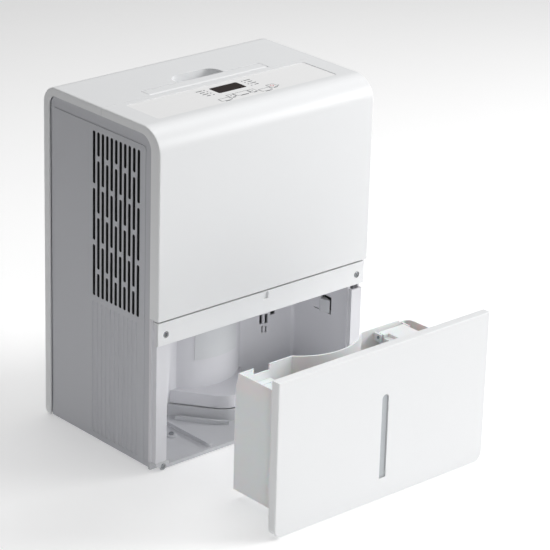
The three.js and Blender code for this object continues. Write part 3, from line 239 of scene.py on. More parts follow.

# %% [markdown]
# ## The filter's net
# A dust filter is a net of nylon threads about 0.25 mm thick. At arm's length the eye sees only a fine
# grid, so the threads are drawn 1.6 mm apart as two crossed waves that raise the threads and paint the
# gaps near black: painted shade for the dark space seen through the net.

# %% Net material
def net(name, thread_colour, gap_shade_colour, pitch_mm):
    material = bpy.data.materials.new(name)
    material.use_nodes = True
    tree = material.node_tree
    shader = tree.nodes["Principled BSDF"]
    shader.inputs["Roughness"].default_value = 0.7
    place = add(tree, "ShaderNodeTexCoord")
    # a wave's period along its axis is about 2 pi / (20 * scale)
    scale = 2 * math.pi / (20 * pitch_mm * MM)
    waves = [
        add(tree, "ShaderNodeTexWave", {"Scale": scale}, {"Vector": (place, "Object")}, bands_direction=axis)
        for axis in ("X", "Z")
    ]
    threads = add(
        tree,
        "ShaderNodeMath",
        links={0: (waves[0], "Fac"), 1: (waves[1], "Fac")},
        operation="MAXIMUM",
    )
    colour = add(
        tree,
        "ShaderNodeMix",
        {6: linear(gap_shade_colour), 7: linear(thread_colour)},
        {0: (threads, 0)},
        data_type="RGBA",
    )
    tree.links.new(colour.outputs[2], shader.inputs["Base Color"])
    bump = add(tree, "ShaderNodeBump", {"Distance": 0.2 * MM}, {"Height": (threads, 0)})
    tree.links.new(bump.outputs["Normal"], shader.inputs["Normal"])
    return material


# The near-black of the gaps is painted shade for the space behind the net.
NET = net("woven_nylon_net", "#242628", "#0B0C0D", 1.6)

# %% [markdown]
# ## Soft edges
# Nothing moulded has a knife edge, and a rounded edge is what catches the light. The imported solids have
# sharp ones, so a copy of each shell is merged, its flat regions are joined up, and its edges are
# bevelled. A first, wider pass can take just the outer rim of a shell. The dimensions stay those of the
# solid.

# %% Copy, merge and bevel
SHARP = math.radians(28)


def place_mesh(name, mesh, node_names, material, weighted=True):
    """A finished piece: it rides with the body of the nodes that it replaces, and shades smoothly."""
    made = bpy.data.objects.new(name, mesh)
    bpy.context.scene.collection.objects.link(made)
    mesh.materials.clear()
    mesh.materials.append(material)
    mesh.shade_smooth()
    mesh.set_sharp_from_angle(angle=math.radians(35))
    if weighted:
        modifier = made.modifiers.new("face weighted normals", "WEIGHTED_NORMAL")
        modifier.keep_sharp = True
    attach(made, body_of_node[node_names[0]])
    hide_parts(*node_names)
    return made


def merged(node, mirror=False):
    """A bmesh copy of a CAD node with shared corners and whole flat faces."""
    copy = bmesh.new()
    copy.from_mesh(nodes[node].data)
    bmesh.ops.remove_doubles(copy, verts=copy.verts, dist=0.004 * MM)
    if mirror:
        bmesh.ops.scale(copy, vec=(-1, 1, 1), verts=copy.verts)
        bmesh.ops.reverse_faces(copy, faces=copy.faces)
    bmesh.ops.dissolve_limit(
        copy, angle_limit=math.radians(0.8), verts=copy.verts, edges=copy.edges, delimit={"NORMAL"}
    )
    return copy


def bevelled(copy, edges, width, segments):
    """Rounds those edges of a bmesh."""
    bmesh.ops.bevel(
        copy,
        geom=edges,
        offset=width,
        offset_type="OFFSET",
        segments=segments,
        profile=0.5,
        affect="EDGES",
        clamp_overlap=True,
        miter_outer="SHARP",
    )


def sharp_edges(copy):
    return [e for e in copy.edges if len(e.link_faces) == 2 and e.calc_face_angle(0) > SHARP]


def softened(node, material, fine_mm=0.35, rim=None, rim_mm=2.0):
    """A CAD node's shape with rounded edges; rim(edge) says which ones get the wider radius."""
    copy = merged(node)
    if rim:
        bevelled(copy, [e for e in sharp_edges(copy) if rim(e)], rim_mm * MM, 5)
    if fine_mm:
        bevelled(copy, sharp_edges(copy), fine_mm * MM, 2)
    mesh = bpy.data.meshes.new(node + "_shell")
    copy.to_mesh(mesh)
    copy.free()
    return place_mesh(node + "_shell", mesh, [node], material)


def painted(node, material):
    """A CAD node whose shape is right keeps its mesh and takes a finish."""
    mesh = nodes[node].data
    mesh.materials.clear()
    mesh.materials.append(material)


# %% [markdown]
# ## The two-shell casing
# The casing is two U-shaped covers that meet along the top. Their outer side edges have the widest radius
# of the whole object, about 2.5 mm, and everything else is a plain mould edge.

# %% Covers and bucket panel
def casing_rim(edge):
    """True for a cover's outer side edge: on the side plane, with one face looking up, out or back."""
    if any(abs(abs(v.co.x) - RIGHT) > 0.01 * MM for v in edge.verts):
        return False
    middle = (edge.verts[0].co + edge.verts[1].co) / 2
    outward = Vector((0, middle.y - MIDDLE_Y, middle.z - TOP / 2))
    across = [f for f in edge.link_faces if abs(f.normal.x) < 0.3]
    return bool(across) and across[0].normal.dot(outward) > 0 and abs(across[0].normal.z) + abs(
        across[0].normal.y
    ) > 0.9 and not casing_end(edge)


def casing_end(edge):
    """True where a cover just stops: its lower edge, and the joint across the top."""
    levels = [abs(v.co.z - cover_low.z) < 0.1 * MM for v in edge.verts]
    seam = [abs(v.co.y - cover_high.y) < 0.1 * MM or abs(v.co.y - rear_low.y) < 0.1 * MM for v in edge.verts]
    return all(levels) or all(seam)


front_shell = softened("front_cover", WHITE_ABS, 0.35, casing_rim, 2.2)
rear_shell = softened("rear_cover", WHITE_ABS, 0.35, casing_rim, 2.2)


panel_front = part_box("bucket_panel")[0].y


def panel_rim(edge):
    """True for the bucket panel's outline on its front face."""
    near = all(abs(v.co.y - panel_front) < 0.01 * MM for v in edge.verts)
    inside = all(abs(v.co.x) < 20 * MM for v in edge.verts)
    return near and not inside


softened("bucket_panel", WHITE_ABS, 0.35, panel_rim, 1.8)
print("covers", len(front_shell.data.polygons), len(rear_shell.data.polygons))

# %% [markdown]
# ## Inside the bay, the base and the tank
# These are plain mouldings: a liner with its posts and the compressor's housing, the floor with its ribs,
# and the tank with its float. They only need soft edges.

# %% Liner, base and tank
softened("front_frame", LINER_ABS, 0.5)
softened("front_strip", FRAME_ABS, 0.4)
softened("base_pan", BASE_PP, 0.5)
softened("water_tank", TANK_PP, 0.6)
softened("water_float", TANK_PP, 0.8)
softened("level_window", SMOKED_SAN, 0.15)
softened("bucket_lever", BASE_PP, 0.4)
softened("blank_label", LABEL_FILM, 0)
softened("right_side_panel", GREY_ABS, 0.35)

# %% [markdown]
# ## Geometry Nodes: one way to make a tree
# Slots, bars, fins, blades and screws all repeat. Each gets a tree with named inputs for its sizes. The
# tree ends in Realize Instances and Set Material, and its result is turned into a plain mesh.

# %% Tree helpers
def new_tree(name, inputs):
    """A geometry tree with those named inputs, given as {name: (socket type, default)}."""
    tree = bpy.data.node_groups.new(name, "GeometryNodeTree")
    tree.interface.new_socket("Geometry", in_out="OUTPUT", socket_type="NodeSocketGeometry")
    for label, (kind, default) in inputs.items():
        socket = tree.interface.new_socket(label, in_out="INPUT", socket_type="NodeSocket" + kind)
        if default is not None:
            socket.default_value = default
    return tree, add(tree, "NodeGroupInput"), add(tree, "NodeGroupOutput")


def close_tree(tree, entry, leave, source):
    """Ends a tree: realised instances with the material that the tree was given."""
    real = add(tree, "GeometryNodeRealizeInstances", links={"Geometry": (source, 0)})
    dressed = add(
        tree,
        "GeometryNodeSetMaterial",
        links={"Geometry": (real, 0), "Material": (entry, "Material")},
    )
    tree.links.new(dressed.outputs[0], leave.inputs[0])


def grown(name, tree, values):
    """The plain mesh that a tree makes from those values."""
    holder = bpy.data.objects.new(name, bpy.data.meshes.new(name + "_holder"))
    bpy.context.scene.collection.objects.link(holder)
    modifier = holder.modifiers.new("nodes", "NODES")
    modifier.node_group = tree
    sockets = {s.name: s.identifier for s in tree.interface.items_tree if s.in_out == "INPUT"}
    for label, value in values.items():
        modifier[sockets[label]] = value
    depsgraph = bpy.context.evaluated_depsgraph_get()
    mesh = bpy.data.meshes.new_from_object(holder.evaluated_get(depsgraph))
    bpy.data.objects.remove(holder)
    mesh.name = name
    return mesh


# %% [markdown]
# ## The grille
# Warm dry air leaves through the left side. The panel there has columns of upright slots with round ends,
# each second column shifted by half a slot, and shallow flutes run on below them down to the floor. A
# tree makes one column of round-ended bars and repeats it along the side; a boolean then takes the bars
# out of the panel.

# %% Slot cutters
def slot_tree():
    tree, entry, leave = new_tree(
        "round_ended_slots",
        {
            "Columns": ("Int", 6),
            "Pitch": ("Float", 0.01),
            "Width": ("Float", 0.006),
            "Length": ("Float", 0.08),
            "Rows": ("Int", 3),
            "Stride": ("Float", 0.08),
            "Depth": ("Float", 0.01),
            "Start": ("Vector", None),
            "Material": ("Material", None),
        },
    )
    outline = add(
        tree,
        "GeometryNodeCurvePrimitiveQuadrilateral",
        links={"Width": (entry, "Length"), "Height": (entry, "Width")},
    )
    end_radius = add(
        tree, "ShaderNodeMath", {1: 0.42}, {0: (entry, "Width")}, operation="MULTIPLY"
    )
    rounded = add(
        tree,
        "GeometryNodeFilletCurve",
        {"Count": 4},
        {"Curve": (outline, 0), "Radius": (end_radius, 0)},
        mode="POLY",
    )
    reach = add(tree, "ShaderNodeCombineXYZ", links={"Z": (entry, "Depth")})
    path = add(tree, "GeometryNodeCurvePrimitiveLine", links={"End": (reach, 0)})
    bar = add(
        tree,
        "GeometryNodeCurveToMesh",
        {"Fill Caps": True},
        {"Curve": (path, 0), "Profile Curve": (rounded, 0)},
    )
    # turned so that the bar's length stands upright and its depth runs along X
    upright = add(
        tree, "GeometryNodeTransform", {"Rotation": (0, math.pi / 2, 0)}, {"Geometry": (bar, 0)}
    )
    down = add(tree, "ShaderNodeMath", {1: -1.0}, {0: (entry, "Stride")}, operation="MULTIPLY")
    row_step = add(tree, "ShaderNodeCombineXYZ", links={"Z": (down, 0)})
    row_points = add(
        tree, "GeometryNodeMeshLine", links={"Count": (entry, "Rows"), "Offset": (row_step, 0)}
    )
    column = add(
        tree,
        "GeometryNodeInstanceOnPoints",
        links={"Points": (row_points, 0), "Instance": (upright, 0)},
    )
    column_step = add(tree, "ShaderNodeCombineXYZ", links={"Y": (entry, "Pitch")})
    places = add(
        tree,
        "GeometryNodeMeshLine",
        links={"Count": (entry, "Columns"), "Start Location": (entry, "Start"), "Offset": (column_step, 0)},
    )
    field = add(
        tree,
        "GeometryNodeInstanceOnPoints",
        links={"Points": (places, 0), "Instance": (column, 0)},
    )
    close_tree(tree, entry, leave, field)
    return tree


GRILLE_COLUMNS = 11
GRILLE_PITCH = 9.7 * MM
GRILLE_SLOT = 5.6 * MM
GRILLE_WEB = 6.9 * MM
GRILLE_ROWS = 3
grille_top = TOP - 38 * MM
grille_bottom = cover_low.z - 7 * MM
stride = (grille_top - grille_bottom + GRILLE_WEB) / GRILLE_ROWS
long_slot = stride - GRILLE_WEB
half_slot = stride / 2 - GRILLE_WEB
first_y = FRONT + 46.5 * MM
panel_low, panel_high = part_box("left_side_panel")
SLOTS = slot_tree()


def cutters(label, columns, first, rows, length, top, pitch, depth_from, depth):
    """Round-ended bars for one set of columns, as a mesh."""
    start = (depth_from, first, top - length / 2)
    return grown(
        label,
        SLOTS,
        {
            "Columns": columns,
            "Pitch": pitch,
            "Width": GRILLE_SLOT,
            "Length": length,
            "Rows": rows,
            "Stride": stride,
            "Depth": depth,
            "Start": start,
            "Material": GREY_ABS,
        },
    )


odd, even = (GRILLE_COLUMNS + 1) // 2, GRILLE_COLUMNS // 2
second_y = first_y + GRILLE_PITCH
outside = panel_low.x - 3 * MM
SHADE_SKIN = 0.4 * MM  # the skin left behind each slot; its black paint is painted shade for the space behind the grille
to_shade_skin = panel_high.x - SHADE_SKIN - outside
MOUTH = 0.45 * MM  # depth of the grey rounded mouth of a slot
flute_top = grille_bottom - 8 * MM
flute_bottom = panel_low.z + 9 * MM
cut_sets = [
    cutters(
        "long_slots", odd, first_y, GRILLE_ROWS, long_slot,
        grille_top, 2 * GRILLE_PITCH, outside, to_shade_skin,
    ),
    cutters("top_slots", even, second_y, 1, half_slot, grille_top, 2 * GRILLE_PITCH, outside, to_shade_skin),
    cutters(
        "middle_slots", even, second_y, GRILLE_ROWS - 1, long_slot,
        grille_top - half_slot - GRILLE_WEB, 2 * GRILLE_PITCH, outside, to_shade_skin,
    ),
    cutters(
        "low_slots", even, second_y, 1, half_slot,
        grille_bottom + half_slot, 2 * GRILLE_PITCH, outside, to_shade_skin,
    ),
    cutters(
        "flutes", GRILLE_COLUMNS, first_y, 1, flute_top - flute_bottom,
        flute_top, GRILLE_PITCH, outside, 3 * MM + 0.9 * MM,
    ),
]


# %% The slotted panel
def minus(mesh, cutter_meshes, name):
    """The mesh with the cutters taken out, as a new mesh."""
    holder = bpy.data.objects.new("panel_blank", mesh)
    bpy.context.scene.collection.objects.link(holder)
    tools = []
    for cutter in cutter_meshes:
        tool = bpy.data.objects.new(cutter.name, cutter)
        bpy.context.scene.collection.objects.link(tool)
        tools.append(tool)
        cutting = holder.modifiers.new(cutter.name, "BOOLEAN")
        cutting.operation = "DIFFERENCE"
        cutting.solver = "EXACT"
        cutting.object = tool
    depsgraph = bpy.context.evaluated_depsgraph_get()
    result = bpy.data.meshes.new_from_object(holder.evaluated_get(depsgraph))
    for spare in [holder, *tools]:
        bpy.data.objects.remove(spare)
    result.name = name
    return result


blank = merged("right_side_panel", mirror=True)
bevelled(blank, sharp_edges(blank), 0.35 * MM, 2)
blank_mesh = bpy.data.meshes.new("left_panel_blank")
blank.to_mesh(blank_mesh)
blank.free()
slotted = minus(blank_mesh, cut_sets, "grille_panel")
tidy = bmesh.new()
tidy.from_mesh(slotted)
bmesh.ops.remove_doubles(tidy, verts=tidy.verts, dist=0.002 * MM)
skin_x = panel_low.x
last_y = first_y + GRILLE_PITCH * GRILLE_COLUMNS
mouths = [
    e
    for e in tidy.edges
    if len(e.link_faces) == 2
    and e.calc_face_angle(0) > math.radians(60)
    and all(v.co.x < skin_x + 0.9 * MM for v in e.verts)
    and all(first_y - 5 * MM < v.co.y < last_y for v in e.verts)
    and all(flute_bottom - 1 * MM < v.co.z < grille_top + 1 * MM for v in e.verts)
]
bevelled(tidy, mouths, 0.5 * MM, 2)
tidy.to_mesh(slotted)
tidy.free()
grille_panel = place_mesh("grille_panel", slotted, ["left_side_panel"], GREY_ABS)
# The walls and ends of the slots are painted near black: painted shade for the dark space behind a
# grille. The solid panel has no dust screen there; the slots stop on a thin skin.
grille_panel.data.materials.append(SLOT_SHADE_PAINT)
for face in grille_panel.data.polygons:
    deep = skin_x + MOUTH < face.center.x < panel_high.x - SHADE_SKIN / 2
    in_height = grille_bottom - 1 * MM < face.center.z < grille_top + 1 * MM
    if deep and in_height and first_y - 5 * MM < face.center.y < last_y:
        face.material_index = 1
print("grille panel faces", len(grille_panel.data.polygons), "slots", odd * 3 + even * 4)

# %% [markdown]
# ## Rear intake
# Room air comes in at the back through a framed filter: upright bars with three crossbars in front of a
# net.

# %% Filter frame and net
softened("filter_frame", WHITE_ABS, 0.4)
painted("filter_mesh", NET)

# %% [markdown]
# ## Fins
# Both coils are stacks of thin aluminium plates pressed onto copper tubes. A real stack has a fin every
# 1.5 mm; here they stand 3 mm apart, thick enough to show, and take the place of the whole coil, without
# end plates or tubes.

# %% Fin stacks
def fin_tree():
    tree, entry, leave = new_tree(
        "fin_stack",
        {
            "Count": ("Int", 80),
            "Pitch": ("Float", 0.003),
            "Size": ("Vector", None),
            "Start": ("Vector", None),
            "Material": ("Material", None),
        },
    )
    fin = add(tree, "GeometryNodeMeshCube", links={"Size": (entry, "Size")})
    step = add(tree, "ShaderNodeCombineXYZ", links={"X": (entry, "Pitch")})
    row = add(
        tree,
        "GeometryNodeMeshLine",
        links={"Count": (entry, "Count"), "Start Location": (entry, "Start"), "Offset": (step, 0)},
    )
    stack = add(
        tree, "GeometryNodeInstanceOnPoints", links={"Points": (row, 0), "Instance": (fin, 0)}
    )
    close_tree(tree, entry, leave, stack)
    return tree


FINS = fin_tree()
FIN_PITCH = 3 * MM
for coil in ("evaporator", "condenser"):
    low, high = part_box(coil)
    centre = (low + high) / 2
    inset = 8 * MM
    count = int((high.x - low.x - 2 * inset) / FIN_PITCH)
    stack = grown(
        coil + "_fins",
        FINS,
        {
            "Count": count,
            "Pitch": FIN_PITCH,
            "Size": (0.5 * MM, high.y - low.y - 3 * MM, high.z - low.z - 4 * MM),
            "Start": (low.x + inset + FIN_PITCH / 2, centre.y, centre.z),
            "Material": FIN_STOCK,
        },
    )
    place_mesh(coil + "_fins", stack, [coil], FIN_STOCK, weighted=False)
    print(coil, "fins", count)

# %% [markdown]
# ## Screws
# Five plated cross-head screws show: two in the strip, two in the base and one on the bay's floor. A
# screw is a low cone on a disc with a shank under it, and a cross is taken out of its head. The tree sets
# as many as it is told along a line, so that each pair is one mesh.

# %% Cross-head screws
def screw_tree():
    tree, entry, leave = new_tree(
        "cross_head_screws",
        {
            "Count": ("Int", 2),
            "Start": ("Vector", None),
            "Step": ("Vector", None),
            "Turn": ("Vector", None),
            "Radius": ("Float", 0.004),
            "Height": ("Float", 0.002),
            "Shank radius": ("Float", 0.002),
            "Shank length": ("Float", 0.008),
            "Cross width": ("Float", 0.001),
            "Material": ("Material", None),
        },
    )
    half = add(tree, "ShaderNodeMath", {1: 0.5}, {0: (entry, "Height")}, operation="MULTIPLY")
    crown = add(tree, "ShaderNodeMath", {1: 0.72}, {0: (entry, "Radius")}, operation="MULTIPLY")
    disc = add(
        tree,
        "GeometryNodeMeshCylinder",
        {"Vertices": 28},
        {"Radius": (entry, "Radius"), "Depth": (half, 0)},
    )
    quarter = add(tree, "ShaderNodeMath", {1: 0.25}, {0: (entry, "Height")}, operation="MULTIPLY")
    disc_up = add(tree, "ShaderNodeCombineXYZ", links={"Z": (quarter, 0)})
    disc_placed = add(
        tree,
        "GeometryNodeTransform",
        links={"Geometry": (disc, 0), "Translation": (disc_up, 0)},
    )
    cone = add(
        tree,
        "GeometryNodeMeshCone",
        {"Vertices": 28},
        {"Radius Top": (crown, 0), "Radius Bottom": (entry, "Radius"), "Depth": (half, 0)},
    )
    cone_up = add(tree, "ShaderNodeCombineXYZ", links={"Z": (half, 0)})
    cone_placed = add(
        tree,
        "GeometryNodeTransform",
        links={"Geometry": (cone, 0), "Translation": (cone_up, 0)},
    )
    shank = add(
        tree,
        "GeometryNodeMeshCylinder",
        {"Vertices": 14},
        {"Radius": (entry, "Shank radius"), "Depth": (entry, "Shank length")},
    )
    sink = add(tree, "ShaderNodeMath", {1: -0.45}, {0: (entry, "Shank length")}, operation="MULTIPLY")
    shank_down = add(tree, "ShaderNodeCombineXYZ", links={"Z": (sink, 0)})
    shank_placed = add(
        tree, "GeometryNodeTransform", links={"Geometry": (shank, 0), "Translation": (shank_down, 0)}
    )
    solid = add(tree, "GeometryNodeMeshBoolean", operation="UNION", solver="EXACT")
    for piece in (disc_placed, cone_placed, shank_placed):
        tree.links.new(piece.outputs[0], solid.inputs["Mesh 2"])
    span = add(tree, "ShaderNodeMath", {1: 1.15}, {0: (entry, "Radius")}, operation="MULTIPLY")
    long_side = add(
        tree,
        "ShaderNodeCombineXYZ",
        links={"X": (span, 0), "Y": (entry, "Cross width"), "Z": (entry, "Height")},
    )
    cross_up = add(tree, "ShaderNodeCombineXYZ", links={"Z": (entry, "Height")})
    groove = add(tree, "GeometryNodeMeshCube", links={"Size": (long_side, 0)})
    first_groove = add(
        tree, "GeometryNodeTransform", links={"Geometry": (groove, 0), "Translation": (cross_up, 0)}
    )
    second_groove = add(
        tree, "GeometryNodeTransform", {"Rotation": (0, 0, math.pi / 2)}, {"Geometry": (first_groove, 0)}
    )
    carved = add(
        tree, "GeometryNodeMeshBoolean", links={"Mesh 1": (solid, 0)}, operation="DIFFERENCE", solver="EXACT"
    )
    for piece in (first_groove, second_groove):
        tree.links.new(piece.outputs[0], carved.inputs["Mesh 2"])
    turned = add(tree, "GeometryNodeTransform", links={"Geometry": (carved, 0), "Rotation": (entry, "Turn")})
    line = add(
        tree,
        "GeometryNodeMeshLine",
        links={"Count": (entry, "Count"), "Start Location": (entry, "Start"), "Offset": (entry, "Step")},
    )
    row = add(
        tree, "GeometryNodeInstanceOnPoints", links={"Points": (line, 0), "Instance": (turned, 0)}
    )
    close_tree(tree, entry, leave, row)
    return tree


SCREWS = screw_tree()
HEAD_HEIGHT = 2 * MM
FACING_FRONT = (math.pi / 2, -math.pi / 4, 0)
FACING_UP = (0, 0, math.pi / 5)


def screws(name, seats, turn, along):
    """Screws in place of those nodes; along is the axis of their shanks, 1 for Y and 2 for Z."""
    boxes = [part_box(seat) for seat in seats]
    places = []
    for low, high in boxes:
        seat = (low + high) / 2
        # the underside of the head: a head's height behind its front, or below its top
        seat[along] = low.y + HEAD_HEIGHT if along == 1 else high.z - HEAD_HEIGHT
        places.append(seat)
    low, high = boxes[0]
    wide = high.x - low.x
    long_axis = high.y - low.y if along == 1 else high.z - low.z
    mesh = grown(
        name,
        SCREWS,
        {
            "Count": len(places),
            "Start": tuple(places[0]),
            "Step": tuple(places[-1] - places[0]),
            "Turn": turn,
            "Radius": wide / 2,
            "Height": HEAD_HEIGHT,
            "Shank radius": 1.9 * MM,
            "Shank length": long_axis - HEAD_HEIGHT,
            "Cross width": 1.1 * MM,
            "Material": ZINC,
        },
    )
    place_mesh(name, mesh, seats, ZINC, weighted=False)


screws("strip_screws", ["strip_screw_left", "strip_screw_right"], FACING_FRONT, 1)
screws("base_screws", ["base_screw_left", "base_screw_right"], FACING_FRONT, 1)
screws("floor_screw", ["bay_floor_screw"], FACING_UP, 2)
print("screws 5")

# %% [markdown]
# ## Fan wheel
# A radial fan draws air in along its axis and throws it out between many small blades. Each blade is the
# same leaning strip, set round a circle, between a back plate with a hub and a front ring.

# %% Blades, plate and ring
def wheel_tree():
    tree, entry, leave = new_tree(
        "radial_fan_wheel",
        {
            "Blades": ("Int", 40),
            "Radius": ("Float", 0.08),
            "Blade": ("Vector", None),
            "Lean": ("Float", 0.6),
            "Place": ("Vector", None),
            "Material": ("Material", None),
        },
    )
    blade_size = add(tree, "ShaderNodeSeparateXYZ", links={0: (entry, "Blade")})
    inset = add(tree, "ShaderNodeMath", {1: 0.62}, {0: (blade_size, 0)}, operation="MULTIPLY")
    circle_radius = add(
        tree, "ShaderNodeMath", links={0: (entry, "Radius"), 1: (inset, 0)}, operation="SUBTRACT"
    )
    circle = add(
        tree,
        "GeometryNodeMeshCircle",
        links={"Vertices": (entry, "Blades"), "Radius": (circle_radius, 0)},
    )
    strip = add(
        tree,
        "GeometryNodeMeshCube",
        {"Vertices X": 2},
        {"Size": (entry, "Blade")},
    )
    index = add(tree, "GeometryNodeInputIndex")
    share = add(tree, "ShaderNodeMath", links={0: (index, 0), 1: (entry, "Blades")}, operation="DIVIDE")
    angle = add(
        tree,
        "ShaderNodeMath",
        {1: 2 * math.pi},
        {0: (share, 0), 2: (entry, "Lean")},
        operation="MULTIPLY_ADD",
    )
    facing = add(tree, "ShaderNodeCombineXYZ", links={"Z": (angle, 0)})
    blades = add(
        tree,
        "GeometryNodeInstanceOnPoints",
        links={"Points": (circle, 0), "Instance": (strip, 0), "Rotation": (facing, 0)},
    )
    plate_depth = 3 * MM
    half_depth = add(tree, "ShaderNodeMath", {1: 0.5}, {0: (blade_size, 2)}, operation="MULTIPLY")
    plate = add(
        tree,
        "GeometryNodeMeshCylinder",
        {"Vertices": 80, "Depth": plate_depth},
        {"Radius": (entry, "Radius")},
    )
    plate_at = add(tree, "ShaderNodeCombineXYZ", links={"Z": (half_depth, 0)})
    plate_placed = add(
        tree, "GeometryNodeTransform", links={"Geometry": (plate, 0), "Translation": (plate_at, 0)}
    )
    hub = add(tree, "GeometryNodeMeshCylinder", {"Vertices": 32, "Radius": 12 * MM, "Depth": 20 * MM})
    hub_drop = add(tree, "ShaderNodeMath", {1: -9 * MM}, {0: (half_depth, 0)}, operation="ADD")
    hub_at = add(tree, "ShaderNodeCombineXYZ", links={"Z": (hub_drop, 0)})
    hub_placed = add(tree, "GeometryNodeTransform", links={"Geometry": (hub, 0), "Translation": (hub_at, 0)})
    mouth = add(tree, "ShaderNodeMath", {1: 0.8}, {0: (entry, "Radius")}, operation="MULTIPLY")
    opening = add(
        tree, "GeometryNodeMeshCylinder", {"Vertices": 80, "Depth": 3 * plate_depth}, {"Radius": (mouth, 0)}
    )
    ring = add(
        tree, "GeometryNodeMeshBoolean", links={"Mesh 1": (plate, 0)}, operation="DIFFERENCE", solver="EXACT"
    )
    tree.links.new(opening.outputs[0], ring.inputs["Mesh 2"])
    ring_depth = add(tree, "ShaderNodeMath", {1: -0.5}, {0: (blade_size, 2)}, operation="MULTIPLY")
    ring_at = add(tree, "ShaderNodeCombineXYZ", links={"Z": (ring_depth, 0)})
    ring_placed = add(
        tree, "GeometryNodeTransform", links={"Geometry": (ring, 0), "Translation": (ring_at, 0)}
    )
    all_parts = add(tree, "GeometryNodeJoinGeometry")
    for piece in (blades, plate_placed, hub_placed, ring_placed):
        tree.links.new(piece.outputs[0], all_parts.inputs[0])
    # the circle's axis is turned from Z to the fan's own, which runs front to back
    turned = add(
        tree,
        "GeometryNodeTransform",
        {"Rotation": (math.pi / 2, 0, 0)},
        {"Geometry": (all_parts, 0), "Translation": (entry, "Place")},
    )
    close_tree(tree, entry, leave, turned)
    return tree


fan_low, fan_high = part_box("fan_wheel")
fan_depth = fan_high.y - fan_low.y
wheel = grown(
    "fan_blades",
    wheel_tree(),
    {
        "Blades": 40,
        "Radius": (fan_high.x - fan_low.x) / 2,
        "Blade": (14 * MM, 1.2 * MM, fan_depth - 3 * MM),
        "Lean": math.radians(35),
        "Place": tuple((fan_low + fan_high) / 2),
        "Material": DARK_PP,
    },
)
place_mesh("fan_blades", wheel, ["fan_wheel"], DARK_PP, weighted=False)
print("fan blades 40")

# %% [markdown]
# ## Controls
# The fascia is a thin plate let into the top, with a tinted display, two columns of lamps and six keys.
# Small printed dashes and arrows stand for the key legends, and the power key has the usual ring and bar.

# %% Fascia, display, keys and lamps
softened("control_fascia", FASCIA_ABS, 0.2)
softened("display_window", TINTED_ACRYLIC, 0.15)
KEYS = ["mode_key", "up_key", "down_key", "fan_speed_key", "timer_key", "power_key"]
for key in KEYS:
    softened(key, FASCIA_ABS, 0.3)
for guide in ("left_lamp_guide", "right_lamp_guide"):
    softened(guide, LAMP_ACRYLIC, 0.1)
softened("carry_handle", WHITE_ABS, 0.5)

# %% [markdown]
# ## Prints
# The legends are pad prints: ink about 0.02 mm thick. They are drawn 0.05 mm thick, as plain dashes, two
# arrows, and the usual ring and bar of a power key, and they carry no words. Each print rides with the
# piece that it is on.

# %% Pad prints
INK = 0.05 * MM
ARC_STEPS = 20


def printed(name, outlines, level, body, material):
    """Flat ink shapes, each a closed list of (x, y) corners turning left, on a face at that level."""
    ink = bmesh.new()
    for corners in outlines:
        face = ink.faces.new([ink.verts.new((x, y, level)) for x, y in corners])
        grown_up = bmesh.ops.extrude_face_region(ink, geom=[face])
        raised = [v for v in grown_up["geom"] if isinstance(v, bmesh.types.BMVert)]
        bmesh.ops.translate(ink, vec=(0, 0, INK), verts=raised)
    bmesh.ops.recalc_face_normals(ink, faces=ink.faces)
    mesh = bpy.data.meshes.new(name)
    ink.to_mesh(mesh)
    ink.free()
    made = bpy.data.objects.new(name, mesh)
    bpy.context.scene.collection.objects.link(made)
    mesh.materials.append(material)
    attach(made, body)


def dash(x, y, width, depth=0.7 * MM):
    return [
        (x - width / 2, y - depth / 2),
        (x + width / 2, y - depth / 2),
        (x + width / 2, y + depth / 2),
        (x - width / 2, y + depth / 2),
    ]


def outline(low, high, gap, width):
    """Four dashes round a key, that far from its edges."""
    x, y = (low.x + high.x) / 2, (low.y + high.y) / 2
    half_x, half_y = (high.x - low.x) / 2 + gap, (high.y - low.y) / 2 + gap
    return [
        dash(x, y - half_y, 2 * half_x, width),
        dash(x, y + half_y, 2 * half_x, width),
        dash(x - half_x, y, width, 2 * half_y - 1.2 * width),
        dash(x + half_x, y, width, 2 * half_y - 1.2 * width),
    ]


def arrow(x, y, size, way):
    """A triangle that points to the back (way 1) or to the front (way -1)."""
    foot, tip = y - way * size * 0.55, y + way * size * 0.8
    corners = [(x - size, foot), (x + size, foot), (x, tip)]
    return corners if way > 0 else corners[::-1]


def arc_band(x, y, radius, width, start, end):
    """A ring segment, as one closed outline."""
    angles = [math.radians(start + (end - start) * i / ARC_STEPS) for i in range(ARC_STEPS + 1)]
    outer = [(x + (radius + width / 2) * math.cos(a), y + (radius + width / 2) * math.sin(a)) for a in angles]
    inner = [(x + (radius - width / 2) * math.cos(a), y + (radius - width / 2) * math.sin(a)) for a in angles]
    return outer + inner[::-1]


for key, body in (("up_key", "up_button"), ("down_key", "down_button")):
    low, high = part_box(key)
    middle = (low + high) / 2
    way = 1 if key == "up_key" else -1
    printed(key + "_arrow", [arrow(middle.x, middle.y, 1.7 * MM, way)], high.z, body, PRINT_GREY)
low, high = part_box("power_key")
middle = (low + high) / 2
power_mark = [
    arc_band(middle.x, middle.y, 2.6 * MM, 0.7 * MM, 125, 415),
    dash(middle.x, middle.y + 2.4 * MM, 0.7 * MM, 2.6 * MM),
]
printed("power_mark", power_mark, high.z, "power_button", PRINT_RED)
guide_low, guide_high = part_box("left_lamp_guide")
lamp_x = (guide_low.x + guide_high.x) / 2
fascia_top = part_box("control_fascia")[1].z
lamp_ys = [guide_high.y - 4 * MM - 7 * MM * row for row in range(4)]
legends = [
    dash(side * (abs(lamp_x) + 9 * MM), y, width * MM, 2 * MM)
    for side in (-1, 1)
    for y, width in zip(lamp_ys, (11, 8, 10, 7))
]
for key in KEYS:
    low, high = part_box(key)
    legends.append(dash((low.x + high.x) / 2, low.y - 2.6 * MM, (high.x - low.x) * 0.6, 1.6 * MM))
    legends += outline(low, high, 0.9 * MM, 0.7 * MM)
printed("fascia_legends", legends, fascia_top, "casing", PRINT_GREY)
print("prints", len(legends) + 4)

# %% [markdown]
# ## Everything else
# The small and hidden pieces keep their solids and take their finishes.

